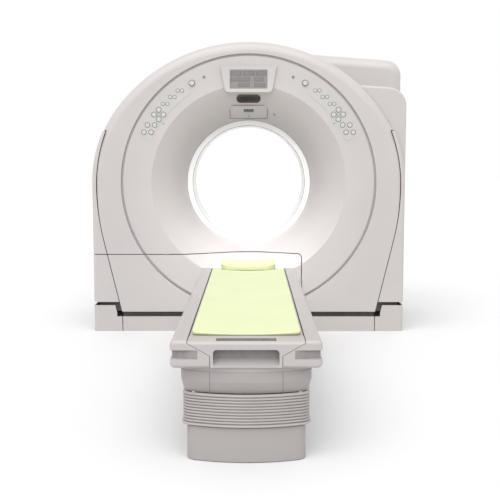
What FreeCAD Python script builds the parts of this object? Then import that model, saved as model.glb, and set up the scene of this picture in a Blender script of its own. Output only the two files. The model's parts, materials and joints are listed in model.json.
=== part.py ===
import FreeCAD, Part
import math
import os
import Sketcher

# CT scanner: a ring-shaped gantry with its rotating scan assembly, and a lifting patient table.
# Millimetres. +X is to the viewer's right, +Y runs into the gantry along the bore, +Z is up.
# The origin is on the floor under the bore axis, in the scan plane.

SIZES = {
    # gantry covers
    "bore_height": (965, "floor to bore axis"),
    "aperture_radius": (375, "clear bore"),
    "front_depth": (440, "scan plane to front face"),
    "rear_depth": (510, "scan plane to rear face"),
    "half_width": (1010, "outline, bore axis to side"),
    "half_height": (900, "outline, bore axis to crown"),
    "shoulder_radius": (800, "outline, shoulder arcs"),
    "cover_wall": (8, "moulded cover thickness"),
    "crown_rounding": (62, "front edge of the arched covers"),
    "side_rounding": (24, "front edge of the side covers"),
    "cover_gap": (5, "joint between two covers"),
    "seal_recess": (3, "seal face below the cover face"),
    "seal_clearance": (1, "seal to the stiffened rim"),
    "rear_seal_end": (100, "rear seal, how far it ends from the right side"),
    "front_skirt": (92, "how far the front cover wraps back"),
    "rear_skirt": (88, "how far the rear cover wraps forward"),
    "side_bottom": (193, "lower edge of the side covers"),
    "front_bottom": (129, "lower edge of the front cover"),
    "split_height": (503, "lower left panels, top edge"),
    "split_right": (342, "lower left panels, right edge"),
    "split_corner": (22, "corner of the lower left panels"),
    "seam_widest": (977, "side seam, greatest distance from the bore axis"),
    "seam_drop": (20, "its height below the bore axis"),
    "seam_upper_radius": (1000, "side seam above that point"),
    "seam_lower_radius": (1500, "side seam below that point"),
    "seam_straight": (365, "how far below the bore axis it turns straight"),
    "seam_top": (340, "where the side seam leaves the outline"),
    "seam_foot": (845, "seam foot below the bore axis"),
    # funnel ring
    "ring_radius": (806, "outer edge of the funnel ring"),
    "ring_groove": (16, "groove round the funnel ring"),
    "ring_groove_depth": (16, "depth of that groove"),
    "ring_lip": (10, "rim that stiffens the cover round the groove"),
    "ring_margin": (2, "ring's edge to what lies on it"),
    "crease_radius": (626, "flat annulus to funnel"),
    "crease_offset": (3.12, "how much wider the crease is on the funnel's back"),
    "mouth_radius": (413, "funnel at the aperture lip"),
    "mouth_half": (150, "scan plane to the funnel's narrow end"),
    "funnel_curve": (405, "radius of the bell-shaped funnel"),
    "rear_funnel_curve": (430, "radius of the rear funnel"),
    "window_wall": (5, "scan window ring"),
    "lip_wall": (8, "aperture lip"),
    # plinth
    "plinth_height": (97, "front plinth"),
    "side_plinth_height": (171, "side plinths"),
    "plinth_split": (826, "front plinth to side plinth"),
    "plinth_step": (35, "side plinths' stepped corner, clearance from the side seam"),
    # rear right housings
    "shoulder_box_left": (640, "front housing, left side"),
    "shoulder_box_right": (1017, "front housing, right side"),
    "shoulder_box_front": (385, "scan plane to its front face"),
    "shoulder_box_back": (157, "scan plane to its back"),
    "shoulder_box_top": (1600, "its top at the left"),
    "shoulder_box_fall": (28, "slope of its top"),
    "shoulder_box_corner": (120, "its rounded shoulder"),
    "tower_left": (250, "rear tower, left side"),
    "tower_right": (1075, "rear tower, right side"),
    "tower_front": (160, "scan plane to its front face"),
    "tower_top": (1867, "its top at the left"),
    "tower_fall": (62, "slope of its top"),
    "tower_corner": (110, "its rounded shoulder"),
    "tower_rounding": (70, "its front top edge"),
    "box_rounding": (14, "front edge of the front housing"),
    "tower_foot": (6, "floor to tower"),
    "seat_gap": (0.3, "clearance between parts that seat on each other"),
    "tool_reach": (60, "how far cutting shapes run past the part"),
    "tool_nudge": (5, "the same inside the part"),
    "beyond_all": (2500, "farther out than anything"),
    # front controls
    "display_half_top": (178, "display housing, half width at the top"),
    "display_half_bottom": (148, "half width at the bottom"),
    "display_top": (741, "top above the bore axis"),
    "display_bottom": (578, "bottom above the bore axis"),
    "display_proud": (16, "display housing in front of the ring"),
    "display_sunk": (60, "ring's face to the display housing's back"),
    "display_corner": (22, "its lower corners"),
    "screen_inset": (2, "screen behind the display's face"),
    "screen_half_width": (120, "display screen"),
    "screen_top": (719, "top above the bore axis"),
    "screen_bottom": (600, "bottom above the bore axis"),
    "screen_depth": (5, "screen recess"),
    "overlay": (4, "thickness of the window and the laser panel"),
    "sensor_half_width": (77, "oval window"),
    "sensor_half_height": (25, "oval window"),
    "sensor_height": (541, "oval window above the bore axis"),
    "laser_half_width": (124, "laser panel"),
    "laser_top": (503, "laser panel above the bore axis"),
    "laser_bottom": (420, "laser panel above the bore axis"),
    "laser_corner": (26, "laser panel's upper corners"),
    "keypad_inner": (685, "keypad"),
    "keypad_outer": (769, "keypad"),
    "keypad_sheet": (1.6, "keypad membrane"),
    "keypad_first": (23.5, "keypad's lower end, degrees above level"),
    "keypad_last": (57, "keypad's upper end, degrees above level"),
    "key_radius": (13, "round key"),
    "small_key_radius": (9, "small key"),
    "key_raise": (1.6, "key above the membrane"),
    "stop_radius": (15, "stop button"),
    "stop_x": (360, "stop button beside the bore axis"),
    "stop_height": (636, "stop button above the bore axis"),
    "stop_proud": (12, "stop button in front of the ring"),
    "stop_length": (30, "stop button"),
    "button_gap": (0.5, "round a button"),
    # frame and scan assembly
    "foot_height": (12, "levelling feet"),
    "foot_radius": (45, "levelling feet"),
    "foot_x": (720, "levelling feet"),
    "foot_front": (300, "scan plane to front feet"),
    "foot_rear": (400, "scan plane to rear feet"),
    "anchor_radius": (9, "anchor bolt hole"),
    "anchor_x": (860, "anchor bolt beside the bore axis"),
    "anchor_front": (360, "scan plane to front anchor bolts"),
    "anchor_rear": (300, "scan plane to rear anchor bolts"),
    "plate_thickness": (25, "gantry base plate"),
    "stator_front": (190, "scan plane to the stator frame"),
    "stator_thickness": (40, "stator frame"),
    "stator_radius": (830, "stator frame"),
    "stator_bore": (600, "stator frame"),
    "bracket_drop": (300, "bore axis to the cover brackets' lower side"),
    "bracket_height": (60, "cover brackets"),
    "race_flange": (640, "outer race flange"),
    "race_inner": (561, "outer race bore"),
    "race_gap": (0.5, "between the two races"),
    "hub_radius": (515, "inner race bore"),
    "race_front": (150, "scan plane to the races"),
    "race_flange_thickness": (25, "outer race flange"),
    "drum_front": (90, "scan plane to the drum plate"),
    "drum_thickness": (40, "drum plate"),
    "drum_radius": (770, "drum plate"),
    "drum_bore": (440, "drum plate"),
    "magnet_radial": (20, "motor magnet ring"),
    "magnet_clearance": (5, "magnet ring to stator frame"),
    "motor_gap": (3, "between magnets and coils"),
    "coil_radial": (34, "motor coil ring"),
    "slip_inner": (650, "slip ring"),
    "slip_outer": (735, "slip ring"),
    "slip_thickness": (14, "slip ring"),
    "brush_half": (60, "brush block"),
    "brush_inset": (10, "slip ring's edges to brush block"),
    "brush_gap": (1, "slip ring to brush block"),
    "tube_radius": (100, "x-ray tube housing"),
    "tube_orbit": (655, "bore axis to the tube's own axis"),
    "tube_length": (220, "x-ray tube housing"),
    "collimator_half": (90, "collimator"),
    "detector_inner": (455, "detector arc"),
    "detector_outer": (570, "detector arc"),
    "detector_half": (60, "scan plane to the detector's front"),
    "detector_spread": (66, "detector arc, degrees"),
    "weight_outer": (740, "bore axis to the balance weight's outer side"),
    "weight_height": (100, "balance weight"),
    "weight_length": (100, "balance weight"),
    "weight_half": (86.5, "balance weight"),
    "unit_inner": (490, "rotating units, bore axis to inner side"),
    "unit_outer": (700, "rotating units, bore axis to outer side"),
    "unit_half_height": (150, "rotating units"),
    "unit_length": (230, "rotating units"),
    "cabinet_inner": (640, "fixed cabinets, bore axis to inner side"),
    "cabinet_outer": (900, "fixed cabinets"),
    "cabinet_height": (330, "fixed cabinets"),
    "cabinet_front": (300, "scan plane to the cabinets' front"),
    "cabinet_rear": (130, "scan plane to the cabinets' rear"),
    # patient table
    "table_foot": (2920, "scan plane to the foot end"),
    "table_head": (826, "scan plane to the head end of the rails"),
    "rail_half": (283, "table centre to rail's outer side"),
    "rail_top": (468, "rail"),
    "rail_corner": (18, "rail's outer corners"),
    "rail_channel_low": (397, "side channel"),
    "rail_channel_high": (431, "side channel"),
    "rail_channel_depth": (7, "side channel"),
    "rail_scoop_start": (180, "end scoop, table centre to where it starts"),
    "rail_scoop_depth": (26, "end scoop, depth at the rail's outer side"),
    "end_rounding": (14, "upper and outer end edges of rails and handle block"),
    "cradle_half": (218, "cradle's top"),
    "cradle_top": (464, "cradle"),
    "cradle_edge": (458, "where the cradle's sides start to slope"),
    "cradle_keel": (134, "cradle's bottom, half width"),
    "cradle_bottom": (410, "cradle"),
    "cradle_gap": (1, "between cradle and rails, level"),
    "block_length": (100, "handle block"),
    "block_bottom": (366, "handle block"),
    "recess_half": (123, "handle recess"),
    "recess_top": (433, "handle recess"),
    "recess_bottom": (369, "handle recess"),
    "recess_ramp_top": (393, "handle recess, top of its sloping floor"),
    "recess_depth": (42, "handle recess"),
    "recess_corner": (14, "handle recess"),
    "slot_half": (112, "grip slot"),
    "slot_depth": (25, "grip slot"),
    "slot_from_end": (14, "foot end to grip slot"),
    "slot_length": (50, "grip slot, along the table"),
    "mat_half": (209, "mat"),
    "mat_thickness": (13, "mat"),
    "mat_length": (1840, "mat"),
    "mat_corner": (18, "mat"),
    "mat_margin": (10, "handle block to mat"),
    "holder_length": (186, "headrest holder"),
    "holder_half": (150, "headrest holder"),
    "holder_bottom": (442, "headrest holder"),
    "holder_corner": (60, "headrest holder"),
    "pillow_half": (171, "headrest cushion"),
    "pillow_gap": (4, "mat to headrest cushion"),
    "pillow_length": (306, "headrest cushion"),
    "pillow_top": (512, "headrest cushion"),
    "pillow_corner": (70, "headrest cushion"),
    "chassis_bottom": (345, "table chassis plate"),
    "chassis_thickness": (18, "table chassis plate"),
    "chassis_half": (247, "table chassis plate"),
    "chassis_inset": (12, "rail ends to chassis plate"),
    "collar_bottom": (262, "collar under the table top"),
    "collar_half": (249, "collar's upper half width"),
    "collar_slant": (11, "how much narrower the collar is below"),
    "collar_slope": (44, "height of the collar's slanted part"),
    "collar_wall": (5, "collar"),
    "collar_inset": (10, "foot end to collar"),
    "collar_length": (1240, "collar"),
    "collar_corner": (50, "collar"),
    "base_half": (226, "table base cover"),
    "base_top": (136, "table base cover"),
    "base_inset": (6, "foot end to base cover"),
    "end_bulge": (600, "radius of the pedestal's bulging end faces"),
    "base_length": (1200, "table base cover"),
    "base_corner": (45, "table base cover"),
    "base_wall": (6, "table base cover"),
    "base_clearance": (3, "floor to base cover"),
    "bellows_half": (246, "bellows"),
    "bellows_proud": (12, "bellows past the ends of the base cover"),
    "bellows_wall": (14, "depth of the bellows' folds"),
    "column_foot": (2497, "scan plane to the lift column"),
    "column_length": (330, "lift column"),
    "column_half": (140, "lift column"),
    "column_clear": (12, "round the lift column"),
    "column_wall": (10, "lift tubes"),
    "column_gap": (0.6, "between two lift tubes"),
    "stage_rise": (4, "each tube stands this much above the one it runs in"),
    "table_anchor_x": (150, "table anchor bolts"),
    "table_anchor_inset": (120, "ends of the base cover to the anchor bolts"),
    "outer_tube_top": (314, "outer lift tube"),
    "base_plate_thickness": (12, "table base plate"),
    "duct_half": (70, "floor duct"),
    "duct_height": (26, "floor duct"),
    "drive_offset": (60, "lift column to cradle drive"),
    "drive_half": (70, "cradle drive"),
    "drive_length": (260, "cradle drive"),
    "drive_height": (55, "cradle drive"),
}
LOWER_KEYS = ((646, 372), (600, 372), (669, 326), (623, 326))
PAIRED_KEYS = ((451, 589), (423, 589), (499, 549), (471, 549), (545, 505), (517, 505))
CLUSTER_KEYS = ((573, 468), (573, 408), (603, 438), (543, 438))
CLUSTER_CENTRE = (573, 438)

doc = FreeCAD.newDocument("ct_scanner")
sheet = doc.addObject("Spreadsheet::Sheet", "sizes")
for row, (alias, (value, note)) in enumerate(SIZES.items(), start=1):
    sheet.set(f"A{row}", alias)
    sheet.set(f"B{row}", str(value))
    sheet.set(f"C{row}", note)
    sheet.setAlias(f"B{row}", alias)
doc.recompute()


class Size:
    """A length from the sheet, or one worked out from several: its number and its expression."""

    def __init__(self, value, text):
        self.value = value
        self.text = text

    def __add__(self, other):
        other = as_size(other)
        return Size(self.value + other.value, f"({self.text} + {other.text})")

    def __sub__(self, other):
        other = as_size(other)
        return Size(self.value - other.value, f"({self.text} - {other.text})")

    def __mul__(self, other):
        other = as_size(other)
        return Size(self.value * other.value, f"({self.text} * {other.text})")

    def __truediv__(self, other):
        other = as_size(other)
        return Size(self.value / other.value, f"({self.text} / {other.text})")

    def __neg__(self):
        return Size(-self.value, f"(0 - {self.text})")

    def __radd__(self, other):
        return as_size(other) + self

    def __rsub__(self, other):
        return as_size(other) - self

    def __rmul__(self, other):
        return as_size(other) * self


def as_size(number):
    return number if isinstance(number, Size) else Size(number, f"({number})")


def root(size):
    return Size(math.sqrt(size.value), f"sqrt({size.text})")


def size_of(alias):
    return Size(SIZES[alias][0], f"sizes.{alias}")


class Sheet:
    """Reads the driving dimensions by name, as in S.bore_height."""

    def __getattr__(self, alias):
        return size_of(alias)


S = Sheet()
NODES = []
TOLERANCE = 0.01
AHEAD = -S.front_depth - S.tool_reach
BEHIND = S.rear_depth + S.tool_reach


def bind(thing, prop, size):
    """Ties a property to the sheet."""
    thing.setExpression(prop, as_size(size).text)


def place(thing, x=0, y=0, z=0, turn=None):
    """Puts an object at a point tied to the sheet, turned by a fixed rotation."""
    x, y, z = as_size(x), as_size(y), as_size(z)
    spin = FreeCAD.Rotation(*turn) if turn else FreeCAD.Rotation()
    thing.Placement = FreeCAD.Placement(FreeCAD.Vector(x.value, y.value, z.value), spin)
    for axis, size in zip("xyz", (x, y, z)):
        bind(thing, f"Placement.Base.{axis}", size)
    return thing


def named(thing, label):
    """Makes an object one of the part's nodes: its label names its file."""
    thing.Label = label
    NODES.append(thing)
    return thing


ALONG_Y = (FreeCAD.Vector(1, 0, 0), -90)


def box(name, x, y, z):
    """A block between pairs of coordinates."""
    block = doc.addObject("Part::Box", name)
    for prop, (low, high) in zip(("Length", "Width", "Height"), (x, y, z)):
        bind(block, prop, as_size(high) - low)
    return place(block, x[0], y[0], z[0])


def bar(name, radius, y, x=0, z=0, spread=360):
    """A round bar, or a sector of one, along the bore between two distances from the scan plane."""
    rod = doc.addObject("Part::Cylinder", name)
    bind(rod, "Radius", radius)
    bind(rod, "Height", as_size(y[1]) - y[0])
    rod.Angle = spread
    return place(rod, x, y[0], z, ALONG_Y)


def post(name, radius, z, x=0, y=0):
    """A round post between two heights."""
    rod = doc.addObject("Part::Cylinder", name)
    bind(rod, "Radius", radius)
    bind(rod, "Height", as_size(z[1]) - z[0])
    return place(rod, x, y, z[0])


def cut(name, base, *tools):
    """The base without the tools."""
    for count, tool in enumerate(tools, start=1):
        result = doc.addObject("Part::Cut", name if count == len(tools) else f"{name}_step{count}")
        result.Base = base
        result.Tool = tool
        base = result
    return base


def common(name, base, *tools):
    """What the base shares with every tool."""
    for count, tool in enumerate(tools, start=1):
        result = doc.addObject("Part::Common", name if count == len(tools) else f"{name}_step{count}")
        result.Base = base
        result.Tool = tool
        base = result
    return base


def fuse(name, *shapes):
    """All the shapes as one."""
    result = doc.addObject("Part::MultiFuse", name)
    result.Shapes = list(shapes)
    result.Refine = True
    return result


def ring(name, outer, inner, y):
    """A ring round the bore axis between two distances from the scan plane."""
    rim = bar(f"{name}_rim", outer, y, z=S.bore_height)
    hole = bar(f"{name}_hole", inner, past_both(y), z=S.bore_height)
    return cut(name, rim, hole)


def past_both(y):
    """A span that runs a little past another at both ends."""
    return (y[0] - S.tool_nudge, y[1] + S.tool_nudge)


def origin_plane(body, role):
    return next(item for item in body.Origin.OriginFeatures if item.Role == role)


class Outline:
    """A closed sketch: points tied to the sheet, joined by lines or by arcs of a tied radius."""

    def __init__(self, start):
        self.points = [start]
        self.edges = []

    def line(self, *points):
        for point in points:
            self.points.append(point)
            self.edges.append(None)
        return self

    def arc(self, point, radius, left):
        """An arc to a point; left tells whether the path turns to its left on the way."""
        self.points.append(point)
        self.edges.append((as_size(radius), left))
        return self

    def draw(self, sketch):
        """Adds the geometry and its constraints, and a closing line if the ends don't meet."""
        points = [(as_size(x), as_size(y)) for x, y in self.points]
        edges = list(self.edges)
        if (vector(points[-1]) - vector(points[0])).Length < 1e-6:
            points.pop()
        else:
            edges.append(None)
        count = len(points)
        starts = []
        ends = []
        for index, edge in enumerate(edges):
            first = vector(points[index])
            last = vector(points[(index + 1) % count])
            if edge is None:
                geometry = sketch.addGeometry(Part.LineSegment(first, last), False)
                turns_left = True
            else:
                radius, turns_left = edge
                geometry = sketch.addGeometry(arc_between(first, last, radius.value, turns_left), False)
                rule = sketch.addConstraint(Sketcher.Constraint("Radius", geometry, radius.value))
                sketch.setExpression(f"Constraints[{rule}]", radius.text)
            starts.append((geometry, 1 if turns_left else 2))
            ends.append((geometry, 2 if turns_left else 1))
        for index, (x, y) in enumerate(points):
            here = starts[index]
            sketch.addConstraint(Sketcher.Constraint("Coincident", *ends[index - 1], *here))
            for kind, size in (("DistanceX", x), ("DistanceY", y)):
                rule = sketch.addConstraint(Sketcher.Constraint(kind, -1, 1, *here, size.value))
                sketch.setExpression(f"Constraints[{rule}]", size.text)


def vector(point):
    return FreeCAD.Vector(point[0].value, point[1].value, 0)


def arc_between(first, last, radius, turns_left):
    """The shorter arc of a radius from one point to another."""
    half = (last - first) * 0.5
    rise = math.sqrt(max(radius**2 - half.Length**2, 0))
    side = FreeCAD.Vector(-half.y, half.x, 0).normalize() * (rise if turns_left else -rise)
    centre = first + half + side
    if not turns_left:
        first, last = last, first
    angles = [math.atan2(point.y - centre.y, point.x - centre.x) for point in (first, last)]
    if angles[1] < angles[0]:
        angles[1] += 2 * math.pi
    circle = Part.Circle(centre, FreeCAD.Vector(0, 0, 1), radius)
    return Part.ArcOfCircle(circle, *angles)


def sketch_in(body, role, outline):
    sketch = body.newObject("Sketcher::SketchObject", f"{body.Name}_outline")
    sketch.AttachmentSupport = [(origin_plane(body, role), "")]
    sketch.MapMode = "FlatFace"
    outline.draw(sketch)
    return sketch


def prism(name, outline, y, height=S.bore_height):
    """An outline of x and height about the bore axis, padded along the bore."""
    body = doc.addObject("PartDesign::Body", name)
    sketch = sketch_in(body, "XZ_Plane", outline)
    pad = body.newObject("PartDesign::Pad", f"{name}_pad")
    pad.Profile = sketch
    pad.Reversed = True
    bind(pad, "Length", as_size(y[1]) - y[0])
    return place(body, 0, y[0], height)


def slab(name, outline, z):
    """An outline seen from above, padded between two heights."""
    body = doc.addObject("PartDesign::Body", name)
    sketch = sketch_in(body, "XY_Plane", outline)
    pad = body.newObject("PartDesign::Pad", f"{name}_pad")
    pad.Profile = sketch
    bind(pad, "Length", as_size(z[1]) - z[0])
    return place(body, 0, 0, z[0])


def lofted(name, low, high, z):
    """A solid between two outlines seen from above."""
    body = doc.addObject("PartDesign::Body", name)
    lower = sketch_in(body, "XY_Plane", low)
    upper = sketch_in(body, "XY_Plane", high)
    rise = as_size(z[1]) - z[0]
    upper.AttachmentOffset = FreeCAD.Placement(FreeCAD.Vector(0, 0, rise.value), FreeCAD.Rotation())
    bind(upper, "AttachmentOffset.Base.z", rise)
    loft = body.newObject("PartDesign::AdditiveLoft", f"{name}_loft")
    loft.Profile = lower
    loft.Sections = [upper]
    return place(body, 0, 0, z[0])


def turned(name, outline):
    """An outline of radius and distance from the scan plane, turned about the bore axis."""
    body = doc.addObject("PartDesign::Body", name)
    sketch = sketch_in(body, "XY_Plane", outline)
    turn = body.newObject("PartDesign::Revolution", f"{name}_turn")
    turn.Profile = sketch
    turn.ReferenceAxis = (sketch, ["V_Axis"])
    turn.Angle = 360
    return place(body, 0, 0, S.bore_height)


def rounded(name, base, radius, chosen):
    """The base with the edges rounded whose middle passes a test."""
    doc.recompute()
    edges = []
    for index, edge in enumerate(base.Shape.Edges, start=1):
        middle = edge.valueAt((edge.FirstParameter + edge.LastParameter) / 2)
        if chosen(middle, edge):
            edges.append((index, radius.value, radius.value))
    fillet = doc.addObject("Part::Fillet", name)
    fillet.Base = base
    fillet.Edges = edges
    return fillet


def rounded_box(x, y, corner):
    """A rectangle seen from above with rounded corners."""
    left, right = (as_size(side) for side in x)
    near, far = (as_size(side) for side in y)
    outline = Outline((left + corner, near)).line((right - corner, near))
    outline.arc((right, near + corner), corner, True).line((right, far - corner))
    outline.arc((right - corner, far), corner, True).line((left + corner, far))
    outline.arc((left, far - corner), corner, True).line((left, near + corner))
    return outline.arc((left + corner, near), corner, True)


# --- gantry outline ---------------------------------------------------------------------------

def arch(inset=0):
    """The gantry's outline about the bore axis: a three-centred arch on upright sides."""
    width = S.half_width - inset
    crown = S.half_height - inset
    shoulder = S.shoulder_radius - inset
    spring = S.half_width - S.shoulder_radius
    rise = S.half_height - S.shoulder_radius
    drop = (spring * spring - rise * rise) / (rise * 2)
    crown_radius = crown + drop
    reach = S.half_height + drop - S.shoulder_radius
    join_x = spring + spring / reach * shoulder
    join_z = drop / reach * shoulder
    foot = -S.bore_height
    outline = Outline((-width, foot)).line((width, foot), (width, 0))
    outline.arc((join_x, join_z), shoulder, True)
    outline.arc((-join_x, join_z), crown_radius, True)
    return outline.arc((-width, 0), shoulder, True)


def envelope(name, inset, rounding):
    """The solid inside the gantry's outline, rounded along its front and rear edges."""
    near = inset - S.front_depth
    far = S.rear_depth - inset
    solid = prism(f"{name}_block", arch(inset), (near, far))

    def on_the_rim(middle, edge):
        at_an_end = min(abs(middle.y - near.value), abs(middle.y - far.value)) < TOLERANCE
        return at_an_end and middle.z > TOLERANCE

    return rounded(name, solid, as_size(rounding), on_the_rim)


def seam_region(name, grow=0):
    """Everything between the two curved side seams."""
    widest = S.seam_widest + grow
    upper = S.seam_upper_radius + grow
    lower = S.seam_lower_radius + grow
    beyond = S.half_width + S.tool_reach
    top = S.seam_top + S.seam_drop
    turn = S.seam_straight - S.seam_drop
    run = root(S.seam_lower_radius * S.seam_lower_radius - turn * turn)
    share = lower / S.seam_lower_radius
    knee_x = widest - lower + run * share
    knee = S.seam_drop + turn * share
    top_x = widest - upper + root(upper * upper - top * top)
    foot_x = knee_x - (S.seam_foot - knee) * turn / run
    floor = -S.bore_height - S.tool_reach
    outline = Outline((-foot_x, floor)).line((foot_x, floor), (foot_x, -S.seam_foot), (knee_x, -knee))
    outline.arc((widest, -S.seam_drop), lower, True)
    outline.arc((top_x, S.seam_top - grow), upper, True)
    outline.line((beyond, S.seam_top - grow), (beyond, beyond), (-beyond, beyond))
    outline.line((-beyond, S.seam_top - grow), (-top_x, S.seam_top - grow))
    outline.arc((-widest, -S.seam_drop), upper, True)
    outline.arc((-knee_x, -knee), lower, True).line((-foot_x, -S.seam_foot))
    return prism(name, outline, (AHEAD, BEHIND))


def lower_left_region(name, grow=0):
    """The part of the front that the lower left panels cover."""
    right = S.split_right + grow
    top = S.split_height - S.bore_height + grow
    corner = S.split_corner + grow
    far_left = -S.half_width - S.tool_reach
    floor = -S.bore_height - S.tool_reach
    outline = Outline((far_left, floor)).line((right, floor), (right, top - corner))
    outline.arc((right - corner, top), corner, True).line((far_left, top))
    return prism(name, outline, (AHEAD, BEHIND))


def halfspace(name, x=None, y=None, z=None):
    """A block over the whole gantry, limited only on the sides that are given."""
    x = x or (-S.beyond_all, S.beyond_all)
    y = y or (AHEAD, BEHIND)
    z = z or (-S.tool_reach, S.beyond_all)
    return box(name, x, y, z)


skin = S.cover_wall
crown_solid = envelope("crown_solid", as_size(0), S.crown_rounding)
crown_seal_solid = envelope("crown_seal_solid", S.seal_recess, S.crown_rounding - S.seal_recess)
inner_solid = envelope("inner_solid", skin, S.crown_rounding - skin)
side_solid = envelope("side_solid", as_size(0), S.side_rounding)
clear_solid = envelope("clear_solid", -S.seat_gap, S.crown_rounding + S.seat_gap)
inner_side_solid = envelope("inner_side_solid", skin, S.side_rounding - skin)

crown_shell = cut("crown_shell", crown_solid, inner_solid)
side_shell = cut("side_shell", side_solid, inner_side_solid)
between_seams = seam_region("between_seams")
between_seams_clear = seam_region("between_seams_clear", S.cover_gap)
lower_left = lower_left_region("lower_left")
lower_left_clear = lower_left_region("lower_left_clear", S.cover_gap)

front_limit = S.front_skirt - S.front_depth
rear_limit = S.rear_depth - S.rear_skirt
middle_zone = (front_limit + S.cover_gap, rear_limit - S.cover_gap)

# --- front covers -----------------------------------------------------------------------------

groove_radius = S.ring_radius + S.ring_groove
ring_hole = bar("ring_hole", groove_radius, (AHEAD, S.front_depth), z=S.bore_height)
front_zone = halfspace("front_zone", y=(AHEAD, front_limit), z=(S.front_bottom, S.beyond_all))
front_skin = cut("front_skin", common("front_skin_arch", crown_shell, between_seams, front_zone), ring_hole)
lip_y = (-S.front_depth, -S.front_depth + S.ring_groove_depth - S.seat_gap)
groove_lip_ring = ring("groove_lip_ring", groove_radius + S.ring_lip, groove_radius, lip_y)
groove_lip = common("groove_lip", groove_lip_ring, between_seams, front_zone, crown_solid)
front_panel = fuse("front_panel", front_skin, groove_lip)
left_half = halfspace("left_half", x=(-S.beyond_all, 0))
right_half = halfspace("right_half", x=(0, S.beyond_all))
lower_corner = common("lower_corner", lower_left, left_half)
lower_corner_clear = common("lower_corner_clear", lower_left_clear, left_half)
named(cut("front_cover_body", front_panel, lower_corner_clear), "front_cover")
named(common("front_cover_lower_body", front_panel, lower_corner), "front_cover_lower_left")


def funnel_outline(grow=0):
    """The bell-shaped funnel's section, as a wall of cover thickness."""
    face = -S.front_depth
    back = face + skin
    step = face + S.ring_groove_depth
    step_back = step + skin
    flange = S.ring_radius + S.ring_groove + S.ring_lip
    outline = Outline((S.ring_radius, face)).line((S.ring_radius, step), (flange, step))
    outline.line((flange, step_back), (S.ring_radius - skin, step_back), (S.ring_radius - skin, back))
    outline.line((S.crease_radius + S.crease_offset, back))
    outline.arc((S.mouth_radius + skin, -S.mouth_half), S.funnel_curve - skin, False)
    outline.line((S.mouth_radius, -S.mouth_half))
    return outline.arc((S.crease_radius, face), S.funnel_curve, True)


funnel = turned("funnel", funnel_outline())
funnel_trimmed = common("funnel_trimmed", funnel, halfspace("funnel_zone", z=(S.front_bottom, S.beyond_all)))

# --- controls on the funnel ring --------------------------------------------------------------


def ring_surface(name, proud):
    """Everything behind the ring's surface, moved forward by a thickness."""
    mouth = -S.mouth_half - proud
    face = -S.front_depth - proud
    far = S.ring_radius - S.ring_margin
    outline = Outline((S.mouth_radius, mouth))
    outline.arc((S.crease_radius, face), S.funnel_curve, True)
    return turned(name, outline.line((far, face), (far, mouth)))


def rectangle(half_width, low, high):
    return Outline((-half_width, low)).line((half_width, low), (half_width, high), (-half_width, high))


def lozenge(half_width, half_height, height):
    """A slot shape with round ends about a height."""
    end = half_width - half_height
    low = height - half_height
    high = height + half_height
    outline = Outline((-end, low)).line((end, low))
    outline.arc((half_width, height), half_height, True).arc((end, high), half_height, True)
    outline.line((-end, high)).arc((-half_width, height), half_height, True)
    return outline.arc((-end, low), half_height, True)


def tombstone(half_width, low, high, corner):
    """A rectangle with its two upper corners rounded."""
    outline = Outline((-half_width, low)).line((half_width, low), (half_width, high - corner))
    outline.arc((half_width - corner, high), corner, True).line((corner - half_width, high))
    return outline.arc((-half_width, high - corner), corner, True)


front_reach = (AHEAD, -S.mouth_half)
overlay_zone = ring_surface("overlay_zone", S.overlay)
behind_ring = ring_surface("behind_ring", S.seat_gap)
display_face = -S.front_depth - S.display_proud
display_outline = Outline((-S.display_half_bottom, S.display_bottom))
display_outline.line((S.display_half_bottom, S.display_bottom), (S.display_half_top, S.display_top))
display_outline.line((-S.display_half_top, S.display_top))
display_block = prism("display_block", display_outline, (display_face, S.display_sunk - S.front_depth))


def lower_corner_edge(middle, edge):
    along_bore = abs(edge.tangentAt(edge.FirstParameter).y) > 0.9
    return along_bore and middle.z < S.bore_height.value + S.screen_bottom.value


display_rounded = rounded("display_rounded", display_block, S.display_corner, lower_corner_edge)
screen_outline = rectangle(S.screen_half_width, S.screen_bottom, S.screen_top)
screen_face = display_face + S.screen_inset
screen_back = screen_face + S.screen_depth
screen_pocket = prism("screen_pocket", screen_outline, (display_face - S.tool_nudge, screen_back))
named(cut("display_body", display_rounded, behind_ring, screen_pocket), "display_bezel")
named(prism("screen_pane", screen_outline, (screen_face, screen_back)), "display_screen")

sensor_outline = lozenge(S.sensor_half_width, S.sensor_half_height, S.sensor_height)
sensor_prism = prism("sensor_prism", sensor_outline, front_reach)
named(cut("sensor_body", common("sensor_pad", sensor_prism, overlay_zone), behind_ring), "indicator_window")
laser_outline = tombstone(S.laser_half_width, S.laser_bottom, S.laser_top, S.laser_corner)
laser_prism = prism("laser_prism", laser_outline, front_reach)
named(cut("laser_body", common("laser_pad", laser_prism, overlay_zone), behind_ring), "laser_panel")


def keypad(side, sign):
    """A membrane that follows the ring, with its raised keys."""
    face = -S.front_depth
    sheet_y = (face - S.keypad_sheet, face)
    spread = S.keypad_last - S.keypad_first
    outer = bar(f"keypad_{side}_outer", S.keypad_outer, sheet_y, z=S.bore_height)
    inner = bar(f"keypad_{side}_inner", S.keypad_inner, past_both(sheet_y), z=S.bore_height)
    bind(outer, "Angle", spread)
    first = S.keypad_first.value if sign > 0 else 180 - S.keypad_last.value
    outer.Placement.Rotation = FreeCAD.Rotation(FreeCAD.Vector(0, 1, 0), -first - spread.value) * (
        FreeCAD.Rotation(*ALONG_Y)
    )
    sheet_part = cut(f"keypad_{side}_sheet", outer, inner)
    key_y = (face - S.keypad_sheet - S.key_raise, face)
    keys = []
    for index, (x, height) in enumerate(LOWER_KEYS + PAIRED_KEYS + CLUSTER_KEYS + (CLUSTER_CENTRE,)):
        radius = S.key_radius if index < len(LOWER_KEYS) else S.small_key_radius
        keys.append(bar(f"key_{side}_{index}", radius, key_y, x * sign, S.bore_height + height))
    named(fuse(f"keypad_{side}_body", sheet_part, *keys), f"keypad_{side}")


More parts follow.
